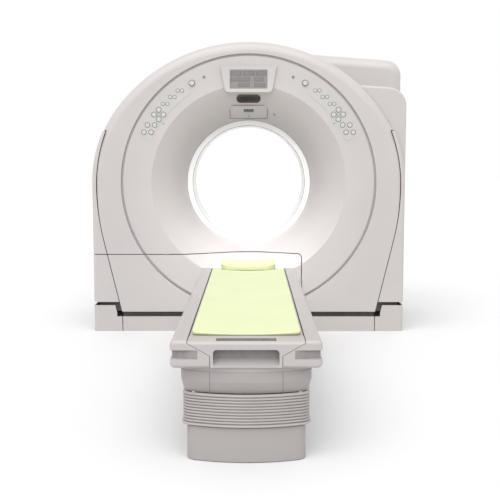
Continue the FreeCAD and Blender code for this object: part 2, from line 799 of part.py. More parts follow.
def stop_button(side, sign):
    """A round button that is pressed into the ring along the bore, and the hole that it runs in."""
    x = S.stop_x * sign
    z = S.bore_height + S.stop_height
    front = -S.front_depth - S.stop_proud
    button = bar(f"stop_{side}_body", S.stop_radius, (front, front + S.stop_length), x, z)
    named(button, f"stop_button_{side}")
    hole_y = (front - S.tool_nudge, front + S.tool_reach)
    return bar(f"stop_{side}_hole", S.stop_radius + S.button_gap, hole_y, x, z)


button_holes = []
for side, sign in (("left", -1), ("right", 1)):
    keypad(side, sign)
    button_holes.append(stop_button(side, sign))
named(cut("bezel_body", funnel_trimmed, lower_left_clear, *button_holes), "front_bezel")
named(common("bezel_lower_body", funnel_trimmed, lower_left), "front_bezel_lower")

# --- aperture and rear ------------------------------------------------------------------------

spool = Outline((S.aperture_radius, -S.mouth_half - S.lip_wall))
spool.line((S.mouth_radius, -S.mouth_half - S.lip_wall), (S.mouth_radius, -S.mouth_half - S.seat_gap))
spool.line((S.aperture_radius + S.window_wall, -S.mouth_half - S.seat_gap))
spool.line((S.aperture_radius + S.window_wall, S.mouth_half + S.seat_gap))
spool.line((S.mouth_radius, S.mouth_half + S.seat_gap), (S.mouth_radius, S.mouth_half + S.lip_wall))
spool.line((S.aperture_radius, S.mouth_half + S.lip_wall))
named(turned("window_body", spool), "scan_window_ring")

rear_hole_radius = S.crease_radius + skin
rear_outline = Outline((S.mouth_radius, S.mouth_half)).line((S.mouth_radius + skin, S.mouth_half))
rear_outline.arc((rear_hole_radius, S.rear_depth - skin), S.rear_funnel_curve - skin, False)
rear_outline.line((rear_hole_radius, S.rear_depth), (S.crease_radius, S.rear_depth))
rear_outline.arc((S.mouth_radius, S.mouth_half), S.rear_funnel_curve, True)
named(turned("rear_funnel_body", rear_outline), "rear_funnel")

rear_zone = halfspace("rear_zone", y=(rear_limit, BEHIND), z=(S.tower_foot, S.beyond_all))
rear_hole = bar("rear_hole", rear_hole_radius + S.seat_gap, (rear_limit, BEHIND), z=S.bore_height)
named(cut("rear_cover_body", common("rear_shell", crown_shell, rear_zone), rear_hole), "rear_cover")

# --- top and side covers ----------------------------------------------------------------------

top_zone = halfspace("top_zone", y=middle_zone)
named(common("top_cover_body", crown_shell, between_seams, top_zone), "top_cover")

side_y = (AHEAD, rear_limit - S.cover_gap)
side_zone = halfspace("side_zone", x=(-S.beyond_all, 0), y=side_y, z=(S.side_bottom, S.beyond_all))
left_side = cut("left_side", common("left_side_shell", side_shell, side_zone), between_seams_clear)
named(cut("left_upper_body", left_side, lower_left_clear), "side_cover_left_upper")
named(common("left_lower_body", left_side, lower_left), "side_cover_left_lower")


def box_profile(left, right, top, fall, corner, inset, foot):
    """A housing seen along the bore: a top that slopes down into a rounded shoulder."""
    slope = as_size(fall) / (right - left)
    stretch = root(slope * slope + 1)
    near = left + inset
    far = right - inset
    bend = corner - inset
    high = top - S.bore_height - (slope + stretch) * inset
    join_x = far - bend + bend * slope / stretch
    join_z = high - (join_x - near) * slope
    outline = Outline((near, foot)).line((far, foot), (far, join_z - bend / stretch))
    return outline.arc((join_x, join_z), bend, True).line((near, high))


def housing(name, left, right, top, fall, corner, y, foot, rounding):
    """A hollow housing with its front edge rounded, open below."""
    solids = []
    for kind, inset in (("outer", as_size(0)), ("inner", skin)):
        low = foot if kind == "outer" else foot - S.tool_reach
        span = (y[0] + inset, y[1] - inset)
        profile = box_profile(left, right, top, fall, corner, inset, low)
        block = prism(f"{name}_{kind}_block", profile, span)

        def front_edge(middle, edge, near=span[0], base=low):
            at_front = abs(middle.y - near.value) < TOLERANCE
            lowest = abs(middle.z - base.value - S.bore_height.value) < TOLERANCE
            return at_front and not lowest and middle.x > left.value + inset.value + TOLERANCE

        solids.append(rounded(f"{name}_{kind}", block, rounding - inset, front_edge))
    return solids


shoulder_y = (-S.shoulder_box_front, as_size(S.shoulder_box_back))
shoulder_outer, shoulder_inner = housing(
    "shoulder_box", S.shoulder_box_left, S.shoulder_box_right, S.shoulder_box_top,
    S.shoulder_box_fall, S.shoulder_box_corner, shoulder_y,
    S.side_bottom - S.bore_height, S.box_rounding,
)
tower_y = (as_size(S.tower_front), S.rear_depth)
tower_outer, tower_inner = housing(
    "tower", S.tower_left, S.tower_right, S.tower_top, S.tower_fall, S.tower_corner, tower_y,
    S.tower_foot - S.bore_height, S.tower_rounding,
)
named(cut("tower_body", tower_outer, tower_inner, clear_solid), "tower_rear_housing")
right_y = (AHEAD, S.shoulder_box_back)
right_zone = halfspace("right_zone", x=(0, S.beyond_all), y=right_y, z=(S.side_bottom, S.beyond_all))
right_shell = common("right_side_shell", side_shell, right_zone)
right_side = cut("right_side", right_shell, between_seams_clear)
shoulder = cut("shoulder", shoulder_outer, shoulder_inner, clear_solid)
named(fuse("right_side_body", right_side, shoulder), "side_cover_right")

# --- plinth -----------------------------------------------------------------------------------

plinth_back = -S.front_depth + S.side_rounding + skin
front_plinth_zone = halfspace(
    "front_plinth_zone", x=(-S.plinth_split + S.cover_gap, S.plinth_split - S.cover_gap),
    y=(AHEAD, plinth_back), z=(0, S.plinth_height),
)
named(common("plinth_front_body", side_shell, front_plinth_zone), "plinth_front")
above_step = halfspace("above_step", z=(S.plinth_height, S.beyond_all))
plinth_step = common("plinth_step", seam_region("between_seams_stepped", S.plinth_step), above_step)
for side, x, far in (
    ("left", (-S.half_width - S.tool_reach, -S.plinth_split), rear_limit - S.cover_gap),
    ("right", (S.plinth_split, S.half_width + S.tool_reach), S.shoulder_box_back),
):
    zone = halfspace(f"plinth_{side}_zone", x=x, y=(AHEAD, far), z=(0, S.side_plinth_height))
    blank = common(f"plinth_{side}_blank", side_shell, zone)
    named(cut(f"plinth_{side}_body", blank, plinth_step), f"plinth_{side}")

# --- seals in the joints between covers -------------------------------------------------------

seal_skin = cut("seal_skin", crown_seal_solid, inner_solid)
seam_strip = cut("seam_strip", between_seams_clear, between_seams)
split_strip = cut("split_strip", lower_left_clear, lower_left)
front_strip = halfspace("front_strip", y=(front_limit, middle_zone[0]))
rear_strip = halfspace("rear_strip", y=(middle_zone[1], rear_limit))
above_plinth = halfspace("above_plinth", z=(S.side_bottom, S.beyond_all))
strips = (
    ("side", cut("side_strip", seam_strip, ring_hole), halfspace("seam_zone", y=side_y)),
    ("front", common("front_strip_part", front_strip, between_seams), above_plinth),
    ("rear", rear_strip, halfspace("rear_strip_zone", x=(-S.beyond_all, S.half_width - S.rear_seal_end))),
)
seal_parts = []
for side, strip, zone in strips:
    seal_parts.append(common(f"seal_{side}", seal_skin, strip, zone, above_plinth))
corner_strip = common("corner_strip", split_strip, left_half, above_plinth)
ring_keepout = bar(
    "ring_keepout", groove_radius + S.ring_lip + S.seal_clearance, (AHEAD, S.front_depth), z=S.bore_height
)
split_y = halfspace("split_zone", y=side_y)
seal_split = common("seal_split_part", seal_skin, corner_strip, split_y)
seal_parts.append(cut("seal_split", seal_split, ring_keepout))
seals = cut("seals", fuse("seals_joined", *seal_parts), tower_outer, shoulder_outer)
named(seals, "cover_seals")

# --- base plate, feet and fixed frame ---------------------------------------------------------

plate_low = S.foot_height
plate_high = plate_low + S.plate_thickness
inside = S.half_width - skin - S.seat_gap
near = -S.front_depth + skin + S.seat_gap
far = S.rear_depth - skin - S.seat_gap
plate_outline = rounded_box((-inside, inside), (near, far), S.crown_rounding)
plate = slab("plate_blank", plate_outline, (plate_low, plate_high))
anchor_holes = []
for x in (-S.anchor_x, as_size(S.anchor_x)):
    for y in (-S.anchor_front, as_size(S.anchor_rear)):
        hole_name = f"anchor_hole_{len(anchor_holes)}"
        anchor_holes.append(post(hole_name, S.anchor_radius, past_both((plate_low, plate_high)), x, y))
named(cut("plate_body", plate, *anchor_holes), "gantry_base_plate")
feet = []
for x in (-S.foot_x, as_size(S.foot_x)):
    for y in (-S.foot_front, as_size(S.foot_rear)):
        feet.append(post(f"foot_{len(feet)}", S.foot_radius, (0, S.foot_height), x, y))
feet.append(post("foot_centre", S.foot_radius, (0, S.foot_height)))
named(fuse("feet_body", *feet), "levelling_feet")

stator_back = S.stator_front + S.stator_thickness
stator_y = (as_size(S.stator_front), stator_back)
stator_disc = bar("stator_disc", S.stator_radius, stator_y, z=S.bore_height)
stator_leg = box("stator_leg", (-S.stator_radius, S.stator_radius), stator_y, (plate_high, S.bore_height))
stator_hole = bar("stator_hole", S.stator_bore, past_both(stator_y), z=S.bore_height)
named(cut("stator_body", fuse("stator_blank", stator_disc, stator_leg), stator_hole), "stator_frame")

race_outer = S.stator_bore - S.seat_gap
flange_y = (S.stator_front - S.race_flange_thickness, S.stator_front)
flange = ring("race_flange_ring", S.race_flange, S.race_inner, flange_y)
sleeve = ring("race_sleeve", race_outer, S.race_inner, (S.stator_front, stator_back))
named(fuse("outer_race_body", flange, sleeve), "bearing_outer_race")
coil_inner = S.drum_radius + S.motor_gap
coil_y = (S.drum_front + S.drum_thickness, S.stator_front)
named(ring("coil_ring", coil_inner + S.coil_radial, coil_inner, coil_y), "ring_motor_stator")
brush_low = S.bore_height + S.slip_inner + S.brush_inset
brush_high = S.bore_height + S.slip_outer - S.brush_inset
brush_y = (S.drum_front + S.drum_thickness + S.slip_thickness + S.brush_gap, S.stator_front)
named(box("brush_body", (-S.brush_half, S.brush_half), brush_y, (brush_low, brush_high)), "brush_block")

bracket_low = S.bore_height - S.bracket_drop
bracket_z = (bracket_low, bracket_low + S.bracket_height)
bracket_left = box("bracket_left", (-inside, -S.stator_radius), stator_y, bracket_z)
bracket_far = S.tower_right - skin - S.seat_gap
bracket_x = (S.stator_radius - S.stator_thickness, bracket_far)
bracket_y = (stator_back, stator_back + S.stator_thickness)
bracket_right = box("bracket_right", bracket_x, bracket_y, bracket_z)
named(fuse("brackets_body", bracket_left, bracket_right), "cover_brackets")

cabinet_z = (plate_high, plate_high + S.cabinet_height)
cabinet_y = (-S.cabinet_front, as_size(S.cabinet_rear))
named(box("power_body", (S.cabinet_inner, S.cabinet_outer), cabinet_y, cabinet_z), "power_unit")
named(box("control_body", (-S.cabinet_outer, -S.cabinet_inner), cabinet_y, cabinet_z), "control_unit")

# --- rotating scan assembly -------------------------------------------------------------------

drum_back = S.drum_front + S.drum_thickness
drum_plate = ring("drum_plate", S.drum_radius, S.drum_bore, (S.drum_front, drum_back))
hub_outer = S.race_inner - S.race_gap
drum_hub = ring("drum_hub", hub_outer, S.hub_radius, (drum_back, S.race_front))
named(fuse("drum_body", drum_plate, drum_hub), "rotor_drum")
named(ring("inner_race", hub_outer, S.hub_radius, (S.race_front, stator_back)), "bearing_inner_race")
magnet_y = (drum_back, S.stator_front - S.magnet_clearance)
named(ring("magnet_ring", S.drum_radius, S.drum_radius - S.magnet_radial, magnet_y), "ring_motor_rotor")
slip_back = drum_back + S.slip_thickness
named(ring("slip_disc", S.slip_outer, S.slip_inner, (drum_back, slip_back)), "slip_ring")

tube_z = S.bore_height + S.tube_orbit
tube_can = bar("tube_can", S.tube_radius, (S.drum_front - S.tube_length, S.drum_front), z=tube_z)
named(tube_can, "xray_tube")
unit_y = (S.drum_front - S.unit_length, S.drum_front)
collimator_top = tube_z - S.tube_radius - S.seat_gap
collimator_low = S.bore_height + S.detector_inner
collimator_y = (-S.drum_front, S.drum_front)
collimator_x = (-S.collimator_half, S.collimator_half)
named(box("collimator_body", collimator_x, collimator_y, (collimator_low, collimator_top)), "collimator")
detector_y = (-S.detector_half, S.drum_front)
sector = bar("detector_sector", S.detector_outer, detector_y, z=S.bore_height)
bind(sector, "Angle", S.detector_spread)
start = FreeCAD.Rotation(FreeCAD.Vector(0, 1, 0), 90 - S.detector_spread.value / 2)
sector.Placement.Rotation = start * FreeCAD.Rotation(*ALONG_Y)
sector_hole = bar("sector_hole", S.detector_inner, past_both(detector_y), z=S.bore_height)
named(cut("detector_body", sector, sector_hole), "detector_arc")
weight_y = (S.drum_front - S.weight_length, S.drum_front)
weight_z = (S.bore_height - S.weight_outer, S.bore_height - S.weight_outer + S.weight_height)
named(box("weight_body", (-S.weight_half, S.weight_half), weight_y, weight_z), "balance_weight")
unit_z = (S.bore_height - S.unit_half_height, S.bore_height + S.unit_half_height)
named(box("generator_body", (-S.unit_outer, -S.unit_inner), unit_y, unit_z), "hv_generator")
named(box("exchanger_body", (S.unit_inner, S.unit_outer), unit_y, unit_z), "heat_exchanger")

# --- table base and lift ----------------------------------------------------------------------

foot_end = -S.table_foot
base_near = foot_end + S.base_inset
base_far = base_near + S.base_length
duct_y = (base_far + S.seat_gap, -S.front_depth - S.seat_gap)
named(box("duct_body", (-S.duct_half, S.duct_half), duct_y, (0, S.duct_height)), "floor_duct")
column_near = -S.column_foot
column_far = column_near + S.column_length


def rounded_rectangle(half, near_y, far_y, corner):
    return rounded_box((-half, half), (near_y, far_y), corner)


def bowed_rectangle(half, near_y, far_y, corner, bulge):
    """A rectangle seen from above whose bulging ends run smoothly into its rounded corners."""
    centre_x = half - corner
    reach = bulge - corner
    drop = root(reach * reach - centre_x * centre_x)
    tip_x = centre_x * bulge / reach
    tip_drop = drop * bulge / reach
    near_tip = near_y + bulge - tip_drop
    far_tip = far_y - bulge + tip_drop
    near_flank = near_y + bulge - drop
    far_flank = far_y - bulge + drop
    outline = Outline((-tip_x, near_tip)).arc((tip_x, near_tip), bulge, True)
    outline.arc((half, near_flank), corner, True).line((half, far_flank))
    outline.arc((tip_x, far_tip), corner, True).arc((-tip_x, far_tip), bulge, True)
    outline.arc((-half, far_flank), corner, True).line((-half, near_flank))
    return outline.arc((-tip_x, near_tip), corner, True)


base_outline = bowed_rectangle(S.base_half, base_near, base_far, S.base_corner, S.end_bulge)
base_block = slab("base_block", base_outline, (S.base_clearance, S.base_top))
base_void_outline = bowed_rectangle(
    S.base_half - S.base_wall, base_near + S.base_wall, base_far - S.base_wall, S.base_corner - S.base_wall,
    S.end_bulge - S.base_wall,
)
base_void = slab("base_void", base_void_outline, (S.base_clearance - S.tool_nudge, S.base_top - S.base_wall))
well_x = (-S.column_half - S.column_clear, S.column_half + S.column_clear)
well_y = (column_near - S.column_clear, column_far + S.column_clear)
base_well = box("base_well", well_x, well_y, (S.base_clearance, S.base_top + S.tool_nudge))
named(cut("base_body", base_block, base_void, base_well), "table_base_cover")
steel_inset = S.base_wall + S.seat_gap
base_steel_outline = bowed_rectangle(
    S.base_half - steel_inset, base_near + steel_inset, base_far - steel_inset, S.base_corner - steel_inset,
    S.end_bulge - steel_inset,
)
base_steel = slab("base_steel", base_steel_outline, (0, S.base_plate_thickness))
table_anchors = []
for x in (-S.table_anchor_x, as_size(S.table_anchor_x)):
    for y in (base_near + S.table_anchor_inset, base_far - S.table_anchor_inset):
        anchor_z = past_both((as_size(0), S.base_plate_thickness))
        table_anchors.append(post(f"table_anchor_{len(table_anchors)}", S.anchor_radius, anchor_z, x, y))
named(cut("base_steel_body", base_steel, *table_anchors), "table_base_plate")

tube_foot = as_size(S.base_plate_thickness)
tube_tops = (S.outer_tube_top, S.outer_tube_top + S.stage_rise * 2, as_size(S.chassis_bottom))
for step, stage in enumerate(("outer", "middle", "inner")):
    shrink = (S.column_wall + S.column_gap) * step
    low = tube_foot + S.stage_rise * step
    sides = []
    for kind, inset, extra in (("solid", shrink, 0), ("hollow", shrink + S.column_wall, S.tool_nudge)):
        x = (-S.column_half + inset, S.column_half - inset)
        y = (column_near + inset, column_far - inset)
        sides.append(box(f"{stage}_tube_{kind}", x, y, (low - extra, tube_tops[step] + extra)))
    named(cut(f"{stage}_tube_body", *sides), f"lift_{stage}_tube")

bellows_y = (base_near - S.bellows_proud, base_far + S.bellows_proud)
bellows_z = (S.base_top + S.seat_gap, S.collar_bottom - S.seat_gap)
bellows_out = bowed_rectangle(S.bellows_half, *bellows_y, S.base_corner, S.end_bulge)
bellows_in = bowed_rectangle(
    S.bellows_half - S.bellows_wall, bellows_y[0] + S.bellows_wall, bellows_y[1] - S.bellows_wall,
    S.base_corner - S.bellows_wall, S.end_bulge - S.bellows_wall,
)
bellows_block = slab("bellows_block", bellows_out, bellows_z)
bellows_void = slab("bellows_void", bellows_in, past_both(bellows_z))
named(cut("bellows_body", bellows_block, bellows_void), "bellows")

# --- table top --------------------------------------------------------------------------------

head_end = -S.table_head
chassis_top = S.chassis_bottom + S.chassis_thickness
chassis_y = (foot_end + S.chassis_inset, head_end - S.chassis_inset)
chassis_outline = bowed_rectangle(S.chassis_half, *chassis_y, S.collar_corner, S.end_bulge)
named(slab("chassis_body", chassis_outline, (S.chassis_bottom, chassis_top)), "table_chassis")

collar_near = foot_end + S.collar_inset
collar_far = collar_near + S.collar_length
collar_knee = S.collar_bottom + S.collar_slope
collar_parts = []
for kind, inset in (("solid", as_size(0)), ("hollow", S.collar_wall)):
    outlines = []
    for slant in (S.collar_slant, as_size(0)):
        margin = slant + inset
        outlines.append(bowed_rectangle(
            S.collar_half - margin, collar_near + margin, collar_far - margin, S.collar_corner - inset,
            S.end_bulge - inset,
        ))
    skirt = lofted(f"collar_{kind}_skirt", *outlines, (S.collar_bottom + inset, collar_knee))
    band = slab(f"collar_{kind}_band", outlines[1], (collar_knee, S.chassis_bottom + inset))
    collar_parts.append(fuse(f"collar_{kind}", skirt, band))
collar_well = box("collar_well", well_x, well_y, (S.collar_bottom - S.tool_nudge, S.chassis_bottom))
named(cut("collar_body", collar_parts[0], collar_parts[1], collar_well), "table_collar")
drive_y = (column_far + S.drive_offset, column_far + S.drive_offset + S.drive_length)
drive_z = (S.chassis_bottom - S.drive_height, S.chassis_bottom)
named(box("drive_body", (-S.drive_half, S.drive_half), drive_y, drive_z), "cradle_drive")

keel_x = S.cradle_keel + S.cradle_gap
side_x = S.cradle_half + S.cradle_gap
channel_x = S.rail_half - S.rail_channel_depth
corner = S.rail_corner
rail_outline = Outline((keel_x, chassis_top)).line((S.rail_half - corner, chassis_top))
rail_outline.arc((S.rail_half, chassis_top + corner), corner, True).line((S.rail_half, S.rail_top - corner))
rail_outline.arc((S.rail_half - corner, S.rail_top), corner, True)
rail_outline.line((side_x, S.rail_top), (side_x, S.cradle_edge), (keel_x, S.cradle_bottom))
rail_blank = prism("rail_blank", rail_outline, (foot_end, head_end), height=as_size(0))


def outer_end_edge(middle, edge):
    outer = middle.x > S.chassis_half.value or middle.z > S.rail_top.value - TOLERANCE
    return outer and abs(middle.y - foot_end.value) < TOLERANCE


rail_rounded = rounded("rail_rounded", rail_blank, S.end_rounding, outer_end_edge)
outside = S.rail_half + S.rail_corner
channel_outline = Outline((outside, S.rail_channel_low - S.rail_corner))
channel_outline.line((channel_x, S.rail_channel_low + S.rail_channel_depth), (channel_x, S.rail_channel_high))
channel_outline.line((outside, S.rail_channel_high))
channel_y = (foot_end - S.rail_corner, head_end + S.rail_corner)
channel = prism("rail_channel", channel_outline, channel_y, height=as_size(0))
scoop_outline = Outline((S.rail_scoop_start, foot_end)).line((S.rail_scoop_start, foot_end - S.rail_corner))
scoop_outline.line((outside, foot_end - S.rail_corner), (outside, foot_end + S.rail_scoop_depth))
scoop = slab("rail_scoop", scoop_outline, (S.rail_channel_low, S.rail_channel_high))
right_rail = cut("rail_right_body", rail_rounded, channel, scoop)
named(right_rail, "rail_right")
left_rail = doc.addObject("Part::Mirroring", "rail_left_body")
left_rail.Source = right_rail
left_rail.Normal = FreeCAD.Vector(1, 0, 0)
named(left_rail, "rail_left")

# --- cradle with its mat and headrest ---------------------------------------------------------

block_far = foot_end + S.block_length
cradle_outline = Outline((-S.cradle_keel, S.cradle_bottom)).line((S.cradle_keel, S.cradle_bottom))
cradle_outline.line((S.cradle_half, S.cradle_edge), (S.cradle_half, S.cradle_top))
cradle_outline.line((-S.cradle_half, S.cradle_top), (-S.cradle_half, S.cradle_edge))
named(prism("cradle_body", cradle_outline, (block_far, head_end), height=as_size(0)), "cradle")

block_outline = Outline((-S.cradle_keel, S.block_bottom)).line((S.cradle_keel, S.block_bottom))
block_outline.line((S.cradle_keel, S.cradle_bottom), (S.cradle_half, S.cradle_edge))
block_outline.line((S.cradle_half, S.cradle_top), (-S.cradle_half, S.cradle_top))
block_outline.line((-S.cradle_half, S.cradle_edge), (-S.cradle_keel, S.cradle_bottom))
block_blank = prism("block_blank", block_outline, (foot_end, block_far), height=as_size(0))
recess_z = (S.recess_bottom, S.recess_top)
recess_outline = rounded_box((-S.recess_half, S.recess_half), recess_z, S.recess_corner)
recess_y = (foot_end - S.tool_nudge, foot_end + S.recess_depth)
recess_blank = prism("recess_blank", recess_outline, recess_y, height=as_size(0))
ramp = doc.addObject("Part::Wedge", "recess_ramp")
ramp_low = S.recess_bottom - S.recess_corner
for prop, size in (
    ("Xmin", -S.cradle_half), ("Xmax", S.cradle_half), ("X2min", -S.cradle_half), ("X2max", S.cradle_half),
    ("Ymin", foot_end), ("Ymax", foot_end + S.recess_depth),
    ("Zmin", ramp_low), ("Zmax", S.recess_bottom), ("Z2min", ramp_low), ("Z2max", S.recess_ramp_top),
):
    bind(ramp, prop, size)
recess = cut("recess", recess_blank, ramp)
slot_y = (foot_end + S.slot_from_end, foot_end + S.slot_from_end + S.slot_length)
slot_z = (S.cradle_top - S.slot_depth, S.cradle_top + S.tool_nudge)
slot = box("slot", (-S.slot_half, S.slot_half), slot_y, slot_z)


def upper_end_edge(middle, edge):
    return abs(middle.y - foot_end.value) < TOLERANCE and abs(middle.z - S.cradle_top.value) < TOLERANCE


block_rounded = rounded("block_rounded", block_blank, S.end_rounding, upper_end_edge)
named(cut("block_body", block_rounded, recess, slot), "handle_block")

mat_near = block_far + S.mat_margin
mat_y = (mat_near, mat_near + S.mat_length)
mat_outline = rounded_rectangle(S.mat_half, *mat_y, S.mat_corner)
mat_low = S.cradle_top + S.seat_gap
named(slab("mat_body", mat_outline, (mat_low, mat_low + S.mat_thickness)), "mat")
holder_y = (head_end, head_end + S.holder_length)
holder_outline = rounded_rectangle(S.holder_half, *holder_y, S.holder_corner)
named(slab("holder_body", holder_outline, (S.holder_bottom, S.cradle_top)), "headrest_holder")
pillow_near = mat_y[1] + S.pillow_gap
pillow_y = (pillow_near, pillow_near + S.pillow_length)
pillow_outline = rounded_rectangle(S.pillow_half, *pillow_y, S.pillow_corner)
pillow_z = (S.cradle_top + S.seat_gap, S.pillow_top)
named(slab("pillow_body", pillow_outline, pillow_z), "headrest_cushion")

# --- check and write --------------------------------------------------------------------------

doc.recompute()
failed = [thing.Name for thing in doc.Objects if {"Invalid", "Error"} & set(thing.State)]
if failed:
    raise SystemExit(f"objects that failed: {failed}")
for node in NODES:
    if node.Shape.isNull() or not node.Shape.isValid():
        raise SystemExit(f"{node.Label} has no valid shape")
os.makedirs("parts", exist_ok=True)
for node in NODES:
    node.Shape.exportStep(f"parts/{node.Label}.step")
    print(node.Label, len(node.Shape.Solids), round(node.Shape.Volume / 1e6, 3), "litres")
print(len(NODES), "nodes")
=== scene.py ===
"""Finishes, soft pieces and studio stage for a CT scanner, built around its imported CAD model."""

import json
from math import cos, pi, radians, sin

import bmesh
import bpy
from bpy.props import FloatProperty, FloatVectorProperty, IntProperty, PointerProperty
from mathutils import Matrix, Vector
from mathutils.bvhtree import BVHTree
from mathutils.geometry import convex_hull_2d


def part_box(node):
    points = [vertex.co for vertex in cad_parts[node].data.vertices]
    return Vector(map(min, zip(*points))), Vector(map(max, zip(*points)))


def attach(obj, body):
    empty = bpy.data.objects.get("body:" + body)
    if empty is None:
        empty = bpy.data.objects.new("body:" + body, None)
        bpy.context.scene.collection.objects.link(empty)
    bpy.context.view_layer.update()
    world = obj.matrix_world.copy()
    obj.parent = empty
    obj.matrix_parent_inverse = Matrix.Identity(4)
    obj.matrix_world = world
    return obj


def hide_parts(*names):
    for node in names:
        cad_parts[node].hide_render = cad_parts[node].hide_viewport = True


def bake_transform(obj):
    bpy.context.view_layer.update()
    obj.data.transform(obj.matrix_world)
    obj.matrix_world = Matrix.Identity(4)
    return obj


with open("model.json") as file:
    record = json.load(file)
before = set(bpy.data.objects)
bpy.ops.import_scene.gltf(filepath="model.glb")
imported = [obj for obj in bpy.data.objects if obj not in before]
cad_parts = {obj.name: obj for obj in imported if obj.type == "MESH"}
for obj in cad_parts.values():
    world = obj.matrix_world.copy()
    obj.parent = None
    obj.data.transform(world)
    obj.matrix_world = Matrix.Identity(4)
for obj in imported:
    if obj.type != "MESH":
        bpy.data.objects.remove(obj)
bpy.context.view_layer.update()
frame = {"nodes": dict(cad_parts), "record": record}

bl_info = {
    "name": "CT Scanner Finishes",
    "version": (1, 0, 0),
    "blender": (4, 5, 0),
    "location": "View3D > Sidebar > Scanner",
    "description": "Finishes a CT scanner: cover paint, controls, bellows, pads and a studio stage",
    "category": "Object",
}

BORE_HEIGHT = frame["record"]["behaviour"]["joints"][0]["pos_m"][2]
SIDES = {"left": -1, "right": 1}
FACING_FRONT = Matrix.Rotation(pi / 2, 4, "X")

# Key centres of one keypad: distance out from the bore axis and height above it.
ROUND_KEYS = ((0.646, 0.372), (0.600, 0.372), (0.669, 0.326), (0.623, 0.326))
PAIRED_KEYS = (
    (0.451, 0.589), (0.423, 0.589), (0.499, 0.549), (0.471, 0.549), (0.545, 0.505), (0.517, 0.505),
)
ARROW_KEYS = ((0.573, 0.468), (0.573, 0.408), (0.603, 0.438), (0.543, 0.438))
ENTER_KEY = (0.573, 0.438)

# The keypad film: its inner and outer radius, and its two ends in degrees above level.
FILM_RADII = (0.679, 0.769)
FILM_ENDS = (23.5, 57.0)

# Sensor dots of the ring: distance across, height above the bore axis and size as a share of the dot radius.
SENSOR_DOTS = (
    (-0.283, 0.673, 1.0), (0.283, 0.673, 1.0), (-0.544, 0.381, 0.5),
    (0.544, 0.381, 0.5), (0.0, 0.437, 0.5), (0.168, 0.443, 0.6),
)

# Readout windows of the display, as shares of the screen's half size: left, right, low, high.
READOUTS = (
    (-0.94, -0.36, 0.36, 0.84),
    (-0.28, 0.32, 0.36, 0.84),
    (0.40, 0.94, 0.36, 0.84),
    (-0.94, 0.06, -0.24, 0.20),
    (0.30, 0.80, -0.24, 0.20),
    (-0.54, 0.06, -0.82, -0.38),
    (0.30, 0.88, -0.82, -0.38),
)


def colour_property(name, description, default):
    """A colour that the panel shows, in scene linear values."""
    return FloatVectorProperty(
        name=name, description=description, default=default, subtype="COLOR", size=3, min=0.0, max=1.0
    )


def length_property(name, description, default):
    """A length that the panel shows, in metres."""
    return FloatProperty(
        name=name, description=description, default=default, min=0.0, unit="LENGTH", precision=4
    )


class ScannerColours(bpy.types.PropertyGroup):
    """Colours of the scanner's finishes."""

    cover: colour_property("Covers", "Satin paint of the gantry covers", (0.445, 0.418, 0.414))
    window: colour_property("Scan window", "Film that closes the scan plane in the bore", (0.80, 0.79, 0.78))
    plinth: colour_property("Plinths", "Paint of the plinths and the floor duct", (0.430, 0.405, 0.393))
    seal: colour_property("Seals", "Rubber in the gaps between covers", (0.026, 0.020, 0.022))
    table: colour_property("Table covers", "Paint of the pedestal and the collar", (0.305, 0.281, 0.274))
    rail: colour_property("Rails", "Paint of the side rails and the foot block", (0.395, 0.366, 0.362))
    bellows: colour_property("Bellows", "Coated cloth of the bellows", (0.345, 0.318, 0.312))
    pad: colour_property("Pads", "Vinyl of the mat and the headrest cushion", (0.570, 0.620, 0.355))
    screen: colour_property("Screen", "Tinted front of the display", (0.200, 0.190, 0.190))
    readout: colour_property("Readouts", "Dark windows behind the display front", (0.135, 0.125, 0.125))
    lens: colour_property("Lens", "Dark lenses and apertures", (0.022, 0.021, 0.019))
    membrane: colour_property("Keypads", "Membrane around the keys", (0.440, 0.424, 0.410))
    key_ring: colour_property("Key rings", "Printed ring round each key", (0.170, 0.190, 0.160))
    button: colour_property("Buttons", "Stop buttons and key caps", (0.470, 0.455, 0.440))
    steel: colour_property("Frame steel", "Powder coat of frames and base plates", (0.13, 0.135, 0.145))
    unit: colour_property("Units", "Paint of the units inside the gantry", (0.30, 0.31, 0.33))


class ScannerControls(bpy.types.PropertyGroup):
    """Sizes of keys, readouts and apertures."""

    key_radius: length_property("Round key", "Radius of the large keys", 0.018)
    small_key_radius: length_property("Small key", "Radius of the small keys", 0.0135)
    arrow_key_radius: length_property("Arrow key", "Radius of the arrow keys", 0.019)
    enter_key_radius: length_property("Enter key", "Radius of the key between the arrow keys", 0.0095)
    key_rise: length_property("Key rise", "Height of a key over the membrane", 0.0015)
    readout_rise: length_property("Readout rise", "Height of a readout over the screen", 0.0008)
    dot_radius: length_property("Sensor dot", "Radius of the sensor dots on the ring", 0.0095)
    aperture_width: length_property("Laser aperture", "Half width of the laser aperture", 0.034)
    aperture_height: length_property("Aperture height", "Half height of the laser aperture", 0.0095)
    # Thickness and inset of the dark sheets of painted shade behind the plinth gaps.
    skirt: length_property("Skirt", "Thickness of the rubber skirts above the plinths", 0.003)
    skirt_inset: length_property("Skirt inset", "Cover face to the rubber skirts", 0.032)
    # The seams are strips of painted shade.
    window_seam: length_property("Window seam", "Width of the seam round the scan window", 0.0035)
    panel_seam: length_property("Panel seam", "Width of the seam round the laser panel", 0.0048)
    collar_gap: length_property("Collar gap", "Stop button to its collar", 0.0008)
    collar_width: length_property("Collar width", "Width of the collar round a stop button", 0.005)


class ScannerBellows(bpy.types.PropertyGroup):
    """Sizes of the bellows and the pedestal's edges."""

    folds: IntProperty(name="Folds", description="Number of folds in the bellows", default=11, min=2)
    fold_depth: length_property("Fold depth", "Depth of the valley between two folds", 0.009)
    lip: length_property("Lip", "How far the lowest fold stands out", 0.005)
    edge: length_property("Edge", "Radius of the base cover's upper edge", 0.007)
    # The collar's seams are strips of painted shade.
    seam: length_property("Seam", "Width of the seams in the collar", 0.0030)
    seam_place: length_property("Seam place", "Table centre to the collar's seams", 0.137)


